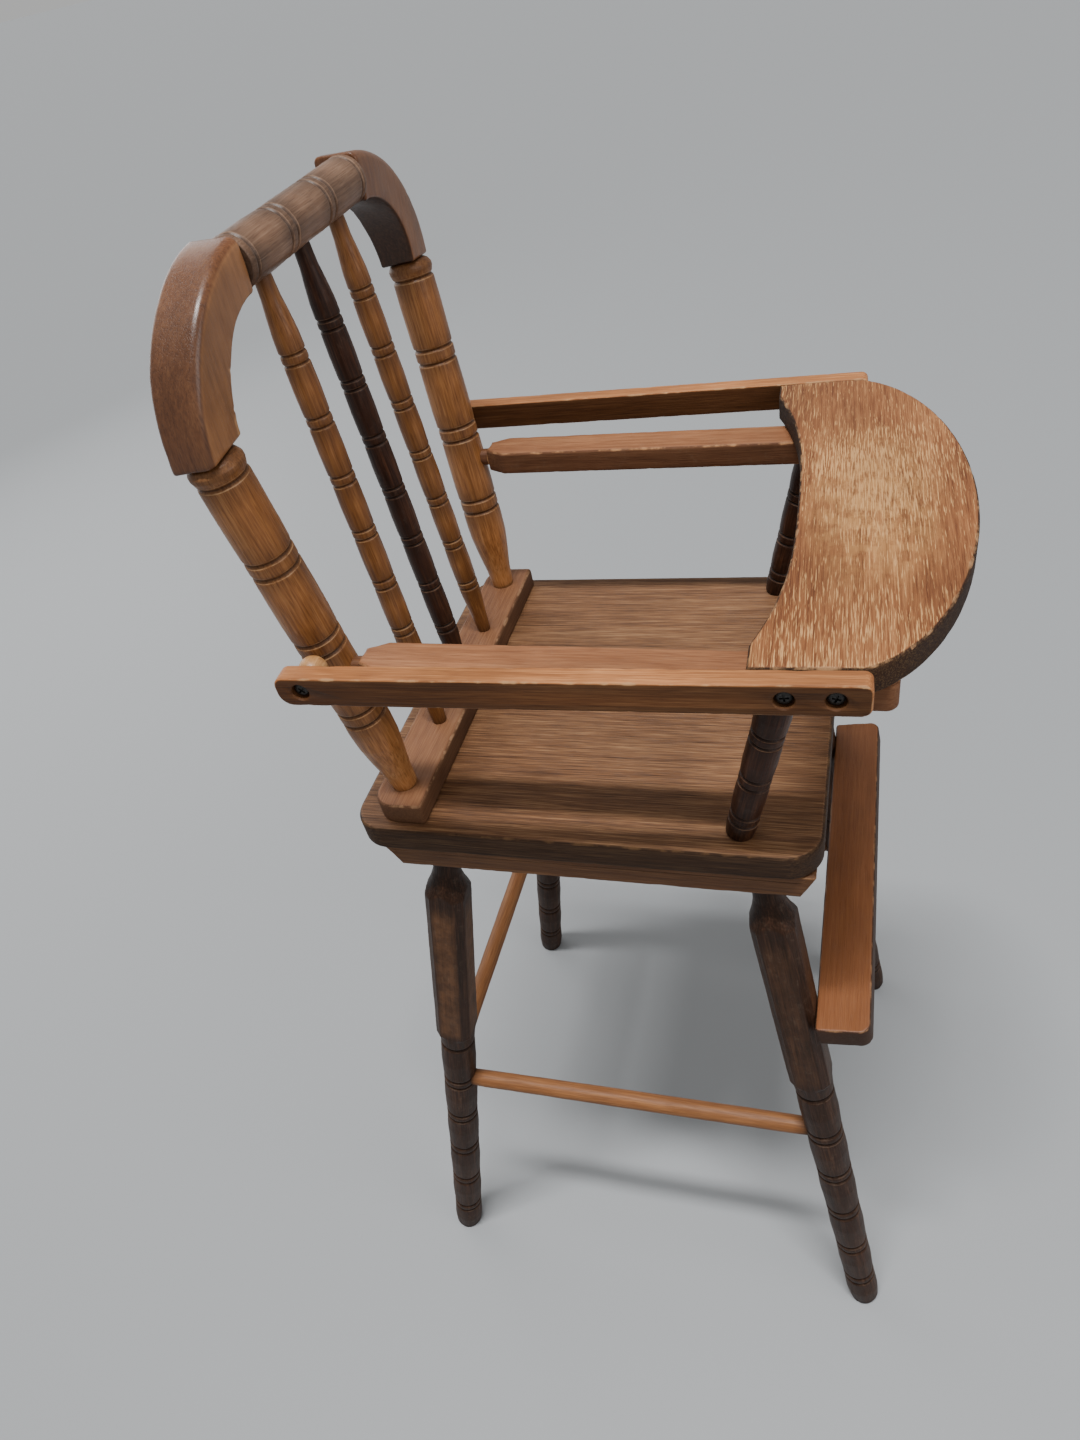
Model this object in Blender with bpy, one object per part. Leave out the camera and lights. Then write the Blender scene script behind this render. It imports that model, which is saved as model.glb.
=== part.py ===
"""Spool-turned wooden baby high chair with a tray that swings up and over the back.

Units are metres and +Z is up. The child faces -Y, so the child's left hand is at +X, and names
use the child's left and right. Sizes are drawn from a point under the middle of the seat; the
last step moves the chair so that the origin is on the floor under the middle of its outline.
"""
import math

import bmesh
import bpy
from mathutils import Matrix, Vector

MM = 0.001
GAP = 0.3 * MM          # clearance between pieces that touch
MERGE = 0.001 * MM
SIDES = {"right": -1, "left": 1}
OUTLINE_CENTRE_Y = -7.7 * MM    # middle of the chair's outline, measured from the seat's middle

# Seat and its cleats
SEAT_WIDTH = 313 * MM
SEAT_DEPTH = 330 * MM
SEAT_TOP = 624 * MM
SEAT_THICKNESS = 21 * MM
SEAT_CORNER = 24 * MM
SEAT_BOTTOM = SEAT_TOP - SEAT_THICKNESS
CLEAT_THICKNESS = 20 * MM
CLEAT_WIDTH = 38 * MM
CLEAT_OUTER_X = 153 * MM
CLEAT_FRONT_Y = -151 * MM
CLEAT_REAR_Y = 136 * MM
CLEAT_SLANT = 10 * MM
CLEAT_BOTTOM = SEAT_BOTTOM - GAP - CLEAT_THICKNESS

# Back rail lying on the seat
RAIL_HALF_LENGTH = 149 * MM
RAIL_FRONT_Y = 106.5 * MM
RAIL_REAR_Y = 146 * MM
RAIL_HEIGHT = 17 * MM
RAIL_CORNER = 17 * MM
RAIL_EDGE_RADIUS = 4.5 * MM
RAIL_TOP = SEAT_TOP + GAP + RAIL_HEIGHT

# Back posts and spindles: (x, y) where they leave the rail and where they end
POST_FOOT = (125.4 * MM, 126.6 * MM)
POST_HEAD = (151.1 * MM, 147.7 * MM)
POST_HEAD_Z = 914 * MM
POST_FOOT_RADIUS = 10 * MM
POST_RADIUS = 15.8 * MM
POST_TENON = 12 * MM
POST_DOWEL_RADIUS = 7 * MM
POST_DOWEL = 16 * MM
POST_PAIRS_AT = (0.29, 0.52, 0.75)
POST_TOP_BEAD = 12 * MM
SPINDLE_FOOT = (57.9 * MM, 123.4 * MM)
SPINDLE_HEAD = (51.8 * MM, 142.6 * MM)
SPINDLE_RADIUS = 8.4 * MM
SPINDLE_END_RADIUS = 5.5 * MM
SPINDLE_TENON = 10 * MM
SPINDLE_GROOVES = 7
SPINDLE_FIRST_GROOVE = 0.147    # fractions of the spindle's length
SPINDLE_GROOVE_STEP = 0.1187

# Crest rail and the shoulder blocks that carry it
CREST_Y = 142 * MM
CREST_Z = 987.5 * MM
CREST_RADIUS = 14.8 * MM
CREST_HALF_LENGTH = 80 * MM
CREST_TENON = 14 * MM
CREST_TENON_RADIUS = 7 * MM
CREST_END_RING = 7 * MM
BLOCK_THICKNESS = 34 * MM
BLOCK_SET_BACK = 4 * MM         # blocks stand a little behind the crest's axis
BLOCK_FULLNESS = 0.97           # the outer curve stays inside a true quarter ellipse
BLOCK_OUTER_X = 167.5 * MM
BLOCK_INNER_X = 135 * MM
BLOCK_ARC_STEPS = 8
BLOCK_FOOT_HEIGHT = 40 * MM     # the cut face on the post's head fades out over this height

# Armrests, which slope down to the front, and the turned posts below them
LAP_HEIGHT = 766.3 * MM         # top of the armrests at y = 0
LAP_TILT = math.radians(1.0)
ARMREST_INNER_X = 122.5 * MM
ARMREST_WIDTH = 28.6 * MM
ARMREST_THICKNESS = 18.5 * MM
ARMREST_REAR_Y = 113.5 * MM
ARMREST_FRONT_Y = -205 * MM
ARMREST_CHAMFER = 14 * MM
ARMREST_NECK_RADIUS = 6.5 * MM
ARMREST_FRONT_CORNER = 6 * MM
ARM_POST_FOOT = (135.6 * MM, -112 * MM)
ARM_POST_HEAD = (137 * MM, -142 * MM)
ARM_POST_RADIUS = 10.5 * MM
ARM_POST_GROOVES_AT = (0.12, 0.18, 0.40, 0.46, 0.70, 0.76)
ARM_POST_TENON = 9 * MM
ARM_POST_TENON_RADIUS = 6 * MM

# Legs: the (x, y) of the axis where it meets the cleat and where it meets the floor
LEG_HEADS = {"front": (132 * MM, -124 * MM), "rear": (132 * MM, 109 * MM)}
LEG_FEET = {"front": (180 * MM, -202 * MM), "rear": (186 * MM, 220 * MM)}
LEG_NECK_RADIUS = 10 * MM
LEG_HALF_SQUARE = 16 * MM
LEG_CHAMFER = 6 * MM
LEG_RADIUS = 15.5 * MM
LEG_FOOT_RADIUS = 14 * MM
LEG_GROOVES_AT = (0.418, 0.515, 0.615, 0.718, 0.822, 0.922)
LEG_TENON = 14 * MM

# Stretchers and footrest, placed by their fraction of the way down a leg
SIDE_STRETCHER_AT = 0.52
REAR_STRETCHER_AT = 0.45
STRETCHER_RADIUS = 7.7 * MM
STRETCHER_SOCKET = 9 * MM
FOOTREST_AT = 0.255
FOOTREST_HALF_LENGTH = 166 * MM
FOOTREST_WIDTH = 39 * MM
FOOTREST_THICKNESS = 18 * MM
FOOTREST_CORNER = 9 * MM
FOOTREST_REAR_CORNER = 3 * MM

# Tray, in the sloping lap frame
TRAY_THICKNESS = 19 * MM
TRAY_REAR_Y = -122 * MM
TRAY_HOLLOW = 20 * MM
TRAY_HOLLOW_START_X = 150 * MM
TRAY_ARC_CENTRE_Y = -164 * MM
TRAY_ARC_X = 175 * MM
TRAY_ARC_Y = 84 * MM
TRAY_ARC_STEPS = 22
TRAY_HOLLOW_STEPS = 10
TRAY_ARM_INNER_X = 171.4 * MM
TRAY_ARM_THICKNESS = 13.6 * MM
TRAY_ARM_HEIGHT = 21 * MM
TRAY_ARM_REAR_Y = 153 * MM
TRAY_ARM_FRONT_Y = -186 * MM
TRAY_SCREWS_Y = {"front": -168 * MM, "rear": -142 * MM}
PIVOT_Y = 137 * MM
TRAY_SKEW = math.radians(1.85)  # the tray stands a little askew on its pivots
BALL_RADIUS = 9.3 * MM
BALL_FLAT = 7 * MM

# Screws
CLEAT_SCREWS_Y = {"front": -70 * MM, "rear": 55 * MM}
RAIL_SCREW_X = 92 * MM
CLEAT_SCREW_LENGTH = 32 * MM
FOOTREST_SCREW_LENGTH = 50 * MM
TRAY_SCREW_LENGTH = 30 * MM
PIVOT_SCREW_LENGTH = 42 * MM
SCREW_HEAD_RADIUS = 4.6 * MM
SCREW_HEAD_HEIGHT = 3 * MM
SCREW_SHANK_RADIUS = 2 * MM
SCREW_TIP = 4 * MM
SCREW_TIP_RADIUS = 0.6 * MM
SCREW_SLOT = 1.1 * MM
COUNTERBORE_RADIUS = 5.6 * MM
COUNTERBORE_DEPTH = 4.5 * MM

# Sides of the round pieces
POST_SIDES = 16
SPINDLE_SIDES = 10
DOWEL_SIDES = 14
SCREW_SIDES = 8

# Turned grooves
GROOVE_WIDTH = 2.2 * MM
GROOVE_DEPTH = 1.1 * MM
PAIR_SPACING = 10.5 * MM

# Colours: linear RGB
REDDISH = (0.105, 0.036, 0.016)
TAN_TOP = (0.16, 0.062, 0.026)
AMBER = (0.15, 0.055, 0.018)
DARK = (0.035, 0.015, 0.009)
HONEY = (0.24, 0.090, 0.028)
PALE = (0.42, 0.20, 0.075)
GREYED = (0.085, 0.045, 0.028)
BLACK = (0.01, 0.01, 0.011)


# ------------------------------------------------------------------ scene helpers
def clear_scene():
    for obj in list(bpy.data.objects):
        bpy.data.objects.remove(obj)


def make_material(name, colour, roughness, metallic=0.0):
    material = bpy.data.materials.new(name)
    material.use_nodes = True
    shader = material.node_tree.nodes["Principled BSDF"]
    shader.inputs["Base Color"].default_value = (*colour, 1.0)
    shader.inputs["Roughness"].default_value = roughness
    shader.inputs["Metallic"].default_value = metallic
    material.diffuse_color = (*colour, 1.0)
    return material


def make_object(name, bm, colour, roughness=0.45, metallic=0.0, matrix=None):
    """Turn a bmesh into an object whose place is its matrix."""
    bmesh.ops.recalc_face_normals(bm, faces=bm.faces)
    mesh = bpy.data.meshes.new(name)
    bm.to_mesh(mesh)
    bm.free()
    mesh.shade_smooth()
    mesh.set_sharp_from_angle(angle=math.radians(32))
    mesh.materials.append(make_material(name, colour, roughness, metallic))
    obj = bpy.data.objects.new(name, mesh)
    bpy.context.scene.collection.objects.link(obj)
    if matrix is not None:
        obj.matrix_world = matrix
    return obj


def add_bevel(obj, width, segments=2, angle=40):
    bevel = obj.modifiers.new("Eased edges", "BEVEL")
    bevel.width = width
    bevel.segments = segments
    bevel.limit_method = "ANGLE"
    bevel.angle_limit = math.radians(angle)
    return bevel


def cut(target, cutter):
    """Take a cutter's shape out of a target."""
    cutter.hide_render = True
    cutter.display_type = "WIRE"
    boolean = target.modifiers.new(cutter.name, "BOOLEAN")
    boolean.object = cutter
    boolean.operation = "DIFFERENCE"


def axis_matrix(start, end, across=(1, 0, 0)):
    """Frame at start whose Z runs to end and whose X stays close to across."""
    z_axis = (Vector(end) - Vector(start)).normalized()
    y_axis = z_axis.cross(Vector(across)).normalized()
    x_axis = y_axis.cross(z_axis)
    rotation = Matrix((x_axis, y_axis, z_axis)).transposed().to_4x4()
    return Matrix.Translation(start) @ rotation


# ------------------------------------------------------------------ mesh helpers
def turned(profile, segments):
    """Spin (distance, radius) points about Z into a closed body."""
    bm = bmesh.new()
    points = [(profile[0][0], 0.0), *profile, (profile[-1][0], 0.0)]
    verts = [bm.verts.new((radius, 0.0, distance)) for distance, radius in points]
    edges = [bm.edges.new(pair) for pair in zip(verts, verts[1:])]
    bmesh.ops.spin(bm, geom=verts + edges, axis=(0, 0, 1), cent=(0, 0, 0),
                   angle=math.tau, steps=segments, use_merge=True)
    bmesh.ops.remove_doubles(bm, verts=bm.verts, dist=MERGE)
    return bm


def prism(outline, low, high):
    """Extrude an XY outline from z = low to z = high."""
    bm = bmesh.new()
    face = bm.faces.new([bm.verts.new((x, y, low)) for x, y in outline])
    extruded = bmesh.ops.extrude_face_region(bm, geom=[face])
    moved = [item for item in extruded["geom"] if isinstance(item, bmesh.types.BMVert)]
    bmesh.ops.translate(bm, verts=moved, vec=(0, 0, high - low))
    return bm


def arc(centre, radius_x, radius_y, start, end, steps):
    """Points on an ellipse between two angles in degrees."""
    angles = [math.radians(start + (end - start) * i / steps) for i in range(steps + 1)]
    x, y = centre
    return [(x + radius_x * math.cos(a), y + radius_y * math.sin(a)) for a in angles]


def rounded_rectangle(x_min, x_max, y_min, y_max, radii, steps=4):
    """Outline with its own radius at the corners --, +-, ++ and -+."""
    corners = [(x_min, y_min, 1, 1), (x_max, y_min, -1, 1)]
    corners += [(x_max, y_max, -1, -1), (x_min, y_max, 1, -1)]
    outline = []
    for index, (x, y, in_x, in_y) in enumerate(corners):
        radius = radii[index]
        centre = (x + in_x * radius, y + in_y * radius)
        first = 180 + 90 * index
        outline += arc(centre, radius, radius, first, first + 90, steps)
    return outline


def socket(target, name, start, end, radius, segments, across=(1, 0, 0)):
    """Cut a round hole from start to end that clears a pin of the given radius."""
    length = (Vector(end) - Vector(start)).length
    profile = [(-GAP, radius + GAP), (length, radius + GAP)]
    cutter = make_object(f"{target.name}.{name}", turned(profile, segments), PALE,
                         matrix=axis_matrix(start, end, across))
    cut(target, cutter)


def groove(distance, radius):
    """Profile points of one V groove."""
    half = GROOVE_WIDTH / 2
    return [(distance - half, radius), (distance, radius - GROOVE_DEPTH), (distance + half, radius)]


def groove_pair(distance, radius):
    half = PAIR_SPACING / 2
    return groove(distance - half, radius) + groove(distance + half, radius)


def between(start, end, fraction):
    return Vector(start).lerp(Vector(end), fraction)


def side_view_matrix():
    """Frame for outlines drawn in side view: local x, y, z become world y, z, x."""
    return Matrix(((0, 0, 1, 0), (1, 0, 0, 0), (0, 1, 0, 0), (0, 0, 0, 1)))


# ------------------------------------------------------------------ seat
def build_seat():
    half_width = SEAT_WIDTH / 2
    half_depth = SEAT_DEPTH / 2
    outline = rounded_rectangle(-half_width, half_width, -half_depth, half_depth, [SEAT_CORNER] * 4)
    seat = make_object("seat", prism(outline, SEAT_BOTTOM, SEAT_TOP), TAN_TOP)
    add_bevel(seat, 3 * MM, segments=1)
    return seat


def build_cleats():
    """Side bearers under the seat, slanted at both ends, drawn in their side view."""
    cleats = {}
    top = SEAT_BOTTOM - GAP
    front_top = CLEAT_FRONT_Y - CLEAT_SLANT
    rear_top = CLEAT_REAR_Y + CLEAT_SLANT
    outline = [(CLEAT_FRONT_Y, CLEAT_BOTTOM), (CLEAT_REAR_Y, CLEAT_BOTTOM)]
    outline += [(rear_top, top), (front_top, top)]
    upright = side_view_matrix()
    for side, sign in SIDES.items():
        low, high = sorted((sign * CLEAT_OUTER_X, sign * (CLEAT_OUTER_X - CLEAT_WIDTH)))
        cleats[side] = make_object(f"seat_cleat_{side}", prism(outline, low, high), HONEY, matrix=upright)
        add_bevel(cleats[side], 1 * MM, segments=1)
    return cleats


def build_back_rail():
    radii = [RAIL_CORNER / 3, RAIL_CORNER / 3, RAIL_CORNER, RAIL_CORNER]
    half = RAIL_HALF_LENGTH
    outline = rounded_rectangle(-half, half, RAIL_FRONT_Y, RAIL_REAR_Y, radii, steps=3)
    bm = prism(outline, SEAT_TOP + GAP, RAIL_TOP)
    top_edges = [edge for edge in bm.edges if all(abs(v.co.z - RAIL_TOP) < MERGE for v in edge.verts)]
    bmesh.ops.bevel(bm, geom=top_edges, offset=RAIL_EDGE_RADIUS, segments=3, profile=0.5, affect="EDGES")
    return make_object("back_rail", bm, REDDISH)


# ------------------------------------------------------------------ back
def post_profile(length):
    """The foot swells to the first groove pair; a bead under the block closes the top."""
    body = [(-POST_TENON, POST_FOOT_RADIUS), (0.0, POST_FOOT_RADIUS)]
    body += [(0.08 * length, 11.4 * MM), (0.19 * length, 14.6 * MM)]
    for fraction in POST_PAIRS_AT:
        body += groove_pair(fraction * length, POST_RADIUS - 0.4 * MM)
        body.append(((fraction + 0.11) * length, POST_RADIUS))
    body += groove(length - POST_TOP_BEAD, POST_RADIUS)
    body += [(length - 5 * MM, POST_RADIUS + 0.6 * MM), (length - GAP, POST_RADIUS - 1.8 * MM)]
    body += [(length - GAP, POST_DOWEL_RADIUS), (length + POST_DOWEL, POST_DOWEL_RADIUS)]
    return body


def build_back_posts(rail, blocks):
    posts = {}
    for side, sign in SIDES.items():
        foot = (sign * POST_FOOT[0], POST_FOOT[1], RAIL_TOP)
        head = (sign * POST_HEAD[0], POST_HEAD[1], POST_HEAD_Z)
        length = (Vector(head) - Vector(foot)).length
        bm = turned(post_profile(length), POST_SIDES)
        posts[side] = make_object(f"back_post_{side}", bm, AMBER, matrix=axis_matrix(foot, head))
        hole_foot = between(foot, head, -POST_TENON / length)
        hole_mouth = between(foot, head, 0.1)
        socket(rail, f"post_{side}", hole_foot, hole_mouth, POST_FOOT_RADIUS, POST_SIDES)
        dowel_end = between(foot, head, 1 + POST_DOWEL / length)
        dowel_start = between(foot, head, 0.97)
        socket(blocks[side], "post", dowel_end, dowel_start, POST_DOWEL_RADIUS, POST_SIDES)
    return posts


def spindle_profile(length):
    profile = [(-SPINDLE_TENON, SPINDLE_END_RADIUS), (0.0, SPINDLE_END_RADIUS), (0.07 * length, 6.6 * MM)]
    for index in range(SPINDLE_GROOVES):
        distance = (SPINDLE_FIRST_GROOVE + SPINDLE_GROOVE_STEP * index) * length
        profile += groove(distance, SPINDLE_RADIUS)
    profile += [(0.91 * length, 7.6 * MM), (0.96 * length, 5.8 * MM)]
    profile += [(length, SPINDLE_END_RADIUS), (length + SPINDLE_TENON, SPINDLE_END_RADIUS)]
    return profile


def build_back_spindles(rail, crest):
    for name, sign in (("right", -1), ("middle", 0), ("left", 1)):
        foot = Vector((sign * SPINDLE_FOOT[0], SPINDLE_FOOT[1], RAIL_TOP))
        head = Vector((sign * SPINDLE_HEAD[0], SPINDLE_HEAD[1], CREST_Z - CREST_RADIUS))
        length = (head - foot).length
        colour = DARK if name == "middle" else AMBER
        make_object(f"back_spindle_{name}", turned(spindle_profile(length), SPINDLE_SIDES), colour,
                    matrix=axis_matrix(foot, head))
        reach = SPINDLE_TENON / length
        socket(rail, f"spindle_{name}", between(foot, head, -reach), between(foot, head, 0.05),
               SPINDLE_END_RADIUS, SPINDLE_SIDES)
        socket(crest, f"spindle_{name}", between(foot, head, 1 + reach), between(foot, head, 0.99),
               SPINDLE_END_RADIUS, SPINDLE_SIDES)


def build_crest():
    end = CREST_HALF_LENGTH
    profile = [(-end - CREST_TENON, CREST_TENON_RADIUS), (-end + GAP, CREST_TENON_RADIUS)]
    profile.append((-end + GAP, CREST_RADIUS - 0.8 * MM))
    profile += groove(-end + CREST_END_RING, CREST_RADIUS)
    profile += groove_pair(-end / 3, CREST_RADIUS)
    mirror_half = [(-distance, radius) for distance, radius in reversed(profile)]
    start = (0, CREST_Y, CREST_Z)
    matrix = axis_matrix(start, (1, CREST_Y, CREST_Z), across=(0, 1, 0))
    return make_object("crest_rail", turned(profile + mirror_half, POST_SIDES), GREYED, matrix=matrix)


def block_foot_fade(z):
    return max(0.0, 1 - (z - POST_HEAD_Z) / BLOCK_FOOT_HEIGHT)


def block_outline(sign, bottom_slope):
    """Quarter ring from the post head (below) to the end of the crest (inside)."""
    inner_x = CREST_HALF_LENGTH
    centre = (inner_x, POST_HEAD_Z)
    crest_top = CREST_Z + CREST_RADIUS - POST_HEAD_Z
    crest_underside = CREST_Z - CREST_RADIUS - POST_HEAD_Z
    outer = arc(centre, BLOCK_OUTER_X - inner_x, crest_top, 0, 90, BLOCK_ARC_STEPS)
    inner = arc(centre, BLOCK_INNER_X - inner_x, crest_underside, 90, 0, BLOCK_ARC_STEPS)
    flattened = []
    for index, point in enumerate(outer):
        bulge = 1 - (1 - BLOCK_FULLNESS) * math.sin(math.pi * index / BLOCK_ARC_STEPS)
        flattened.append(tuple(c + (p - c) * bulge for c, p in zip(centre, point)))
    sloped = []
    for x, z in flattened + inner:
        drop = bottom_slope * (x - POST_HEAD[0]) * block_foot_fade(z)
        sloped.append((sign * x, z - drop))
    return sloped


def build_shoulder_blocks(crest):
    blocks = {}
    slope_x = (POST_HEAD[0] - POST_FOOT[0]) / (POST_HEAD_Z - RAIL_TOP)
    slope_y = (POST_HEAD[1] - POST_FOOT[1]) / (POST_HEAD_Z - RAIL_TOP)
    for side, sign in SIDES.items():
        bm = prism(block_outline(sign, slope_x), -BLOCK_THICKNESS / 2, BLOCK_THICKNESS / 2)
        for vert in bm.verts:
            x, z, depth = vert.co
            rise = (z - POST_HEAD_Z) / (CREST_Z - POST_HEAD_Z)
            centre_y = POST_HEAD[1] + (CREST_Y - POST_HEAD[1]) * rise + BLOCK_SET_BACK
            vert.co = (x, centre_y + depth, z - slope_y * depth * block_foot_fade(z))
        blocks[side] = make_object(f"shoulder_block_{side}", bm, REDDISH, roughness=0.3)
        add_bevel(blocks[side], 3.5 * MM)
        inner_end = (sign * CREST_HALF_LENGTH, CREST_Y, CREST_Z)
        tenon_end = (sign * (CREST_HALF_LENGTH + CREST_TENON), CREST_Y, CREST_Z)
        mouth = (sign * (CREST_HALF_LENGTH - 4 * MM), CREST_Y, CREST_Z)
        socket(blocks[side], "crest", tenon_end, mouth, CREST_TENON_RADIUS, POST_SIDES, across=(0, 1, 0))
    return blocks


# ------------------------------------------------------------------ arms
def lap_matrix():
    """Frame of the armrest tops: it slopes down to the front."""
    return Matrix.Translation((0, 0, LAP_HEIGHT)) @ Matrix.Rotation(LAP_TILT, 4, "X")


def armrest_outline(centre_x):
    """Chamfered behind, down to the round neck, with eased corners in front."""
    half = ARMREST_WIDTH / 2
    front = ARMREST_FRONT_Y
    eased = ARMREST_FRONT_CORNER
    chamfer_y = ARMREST_REAR_Y - ARMREST_CHAMFER
    shoulder = ARMREST_NECK_RADIUS + 1 * MM
    right = [(half - eased, front), (half, front + eased), (half, chamfer_y), (shoulder, ARMREST_REAR_Y)]
    left = [(-x, y) for x, y in reversed(right)]
    return [(x + centre_x, y) for x, y in right + left]


def build_armrests():
    rests = {}
    lap = lap_matrix()
    for side, sign in SIDES.items():
        outline = armrest_outline(sign * (ARMREST_INNER_X + ARMREST_WIDTH / 2))
        rest = make_object(f"armrest_{side}", prism(outline, -ARMREST_THICKNESS, 0), REDDISH, matrix=lap)
        add_bevel(rest, 2 * MM)
        rests[side] = rest
    return rests


def build_armrest_necks(rests, posts):
    """Round tenons from the armrests into the back posts."""
    lap = lap_matrix()
    centre_x = ARMREST_INNER_X + ARMREST_WIDTH / 2
    mid = -ARMREST_THICKNESS / 2
    for side, sign in SIDES.items():
        start = lap @ Vector((sign * centre_x, ARMREST_REAR_Y - 20 * MM, mid))
        end = lap @ Vector((sign * centre_x, ARMREST_REAR_Y + 24 * MM, mid))
        profile = [(0, ARMREST_NECK_RADIUS), ((end - start).length, ARMREST_NECK_RADIUS)]
        neck = make_object(f"armrest_{side}.neck", turned(profile, DOWEL_SIDES), REDDISH,
                           matrix=axis_matrix(start, end))
        neck.hide_render = True
        neck.display_type = "WIRE"
        union = rests[side].modifiers.new("Neck", "BOOLEAN")
        union.object = neck
        union.operation = "UNION"
        mouth = lap @ Vector((sign * centre_x, ARMREST_REAR_Y, mid))
        socket(posts[side], "armrest", end, mouth, ARMREST_NECK_RADIUS, DOWEL_SIDES)


def arm_post_profile(length):
    tenon = ARM_POST_TENON
    radius = ARM_POST_RADIUS
    profile = [(-tenon, ARM_POST_TENON_RADIUS), (GAP, ARM_POST_TENON_RADIUS), (GAP, radius - 1.5 * MM)]
    for fraction in ARM_POST_GROOVES_AT:
        profile += groove(fraction * length, radius)
    profile += [(length - GAP, radius - 1.5 * MM), (length - GAP, ARM_POST_TENON_RADIUS)]
    profile.append((length + tenon, ARM_POST_TENON_RADIUS))
    return profile


def build_arm_posts(seat, rests):
    lap = lap_matrix()
    for side, sign in SIDES.items():
        foot = Vector((sign * ARM_POST_FOOT[0], ARM_POST_FOOT[1], SEAT_TOP))
        head = lap @ Vector((sign * ARM_POST_HEAD[0], ARM_POST_HEAD[1], -ARMREST_THICKNESS))
        # the end faces are square to the leaning axis, so the shoulders stand clear of both boards
        lean = (head - foot).xy.length / (head - foot).z * ARM_POST_RADIUS
        axis = (head - foot).normalized()
        foot += axis * lean
        head -= axis * lean
        length = (head - foot).length
        bm = turned(arm_post_profile(length), DOWEL_SIDES)
        make_object(f"arm_post_{side}", bm, DARK, matrix=axis_matrix(foot, head))
        reach = ARM_POST_TENON / length
        socket(seat, f"arm_post_{side}", between(foot, head, -reach), between(foot, head, 0.1),
               ARM_POST_TENON_RADIUS, DOWEL_SIDES)
        socket(rests[side], "arm_post", between(foot, head, 1 + reach), between(foot, head, 0.9),
               ARM_POST_TENON_RADIUS, DOWEL_SIDES)


# ------------------------------------------------------------------ legs
def leg_ends(end, sign):
    head = (sign * LEG_HEADS[end][0], LEG_HEADS[end][1], CLEAT_BOTTOM)
    foot = (sign * LEG_FEET[end][0], LEG_FEET[end][1], 0.0)
    return Vector(head), Vector(foot)


def leg_ring(distance, turned_radius):
    """A square blank with chamfered corners, turned down to a radius."""
    corner = math.atan2(LEG_HALF_SQUARE - LEG_CHAMFER, LEG_HALF_SQUARE)
    ring = []
    for quarter in range(4):
        for angle in (0.0, corner, math.pi / 4, math.pi / 2 - corner):
            flat = LEG_HALF_SQUARE / max(math.cos(angle), math.sin(angle))
            bevel = (2 * LEG_HALF_SQUARE - LEG_CHAMFER) / (math.cos(angle) + math.sin(angle))
            radius = min(flat, bevel, turned_radius)
            turn = angle + quarter * math.pi / 2
            ring.append((radius * math.cos(turn), radius * math.sin(turn), distance))
    return ring


def leg_sections(length):
    """(distance from the cleat, turned radius) down the leg."""
    square = 2 * LEG_HALF_SQUARE
    sections = [(-LEG_TENON, LEG_NECK_RADIUS), (0.035 * length, LEG_NECK_RADIUS)]
    sections += [(0.06 * length, 12.5 * MM), (0.085 * length, 18 * MM), (0.105 * length, square)]
    sections += [(0.385 * length, square), (0.40 * length, LEG_RADIUS + 0.5 * MM)]
    for fraction in LEG_GROOVES_AT:
        taper = (fraction - LEG_GROOVES_AT[0]) / (1 - LEG_GROOVES_AT[0])
        sections += groove(fraction * length, LEG_RADIUS + (LEG_FOOT_RADIUS - LEG_RADIUS) * taper)
    sections += [(0.985 * length, LEG_FOOT_RADIUS), (length + 8 * MM, LEG_FOOT_RADIUS - 5 * MM)]
    return sections


def leg_mesh(length):
    bm = bmesh.new()
    rings = [[bm.verts.new(point) for point in leg_ring(*section)] for section in leg_sections(length)]
    for upper, lower in zip(rings, rings[1:]):
        for index in range(len(upper)):
            following = (index + 1) % len(upper)
            bm.faces.new((upper[index], upper[following], lower[following], lower[index]))
    bm.faces.new(rings[0])
    bm.faces.new(rings[-1])
    return bm


def cut_at_floor(bm, matrix):
    """Cut a body flat at the floor, given the matrix that will place it."""
    inverse = matrix.inverted()
    floor_point = inverse @ Vector((0, 0, 0))
    floor_normal = inverse.to_3x3() @ Vector((0, 0, -1))
    geometry = bm.verts[:] + bm.edges[:] + bm.faces[:]
    sliced = bmesh.ops.bisect_plane(bm, geom=geometry, plane_co=floor_point, plane_no=floor_normal,
                                    clear_outer=True)
    rim = [item for item in sliced["geom_cut"] if isinstance(item, bmesh.types.BMEdge)]
    bmesh.ops.edgeloop_fill(bm, edges=rim)


def build_leg(end, side, sign, cleat):
    head, foot = leg_ends(end, sign)
    length = (foot - head).length
    matrix = axis_matrix(head, foot)
    bm = leg_mesh(length)
    cut_at_floor(bm, matrix)
    leg = make_object(f"leg_{end}_{side}", bm, DARK, roughness=0.55, matrix=matrix)
    tenon_end = between(head, foot, -LEG_TENON / length)
    mouth = between(head, foot, 0.02)
    socket(cleat, f"leg_{end}", tenon_end, mouth, LEG_NECK_RADIUS, 16)
    return leg


def build_legs(cleats):
    legs = {}
    for end in LEG_HEADS:
        for side, sign in SIDES.items():
            legs[end, side] = build_leg(end, side, sign, cleats[side])
    return legs


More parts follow.
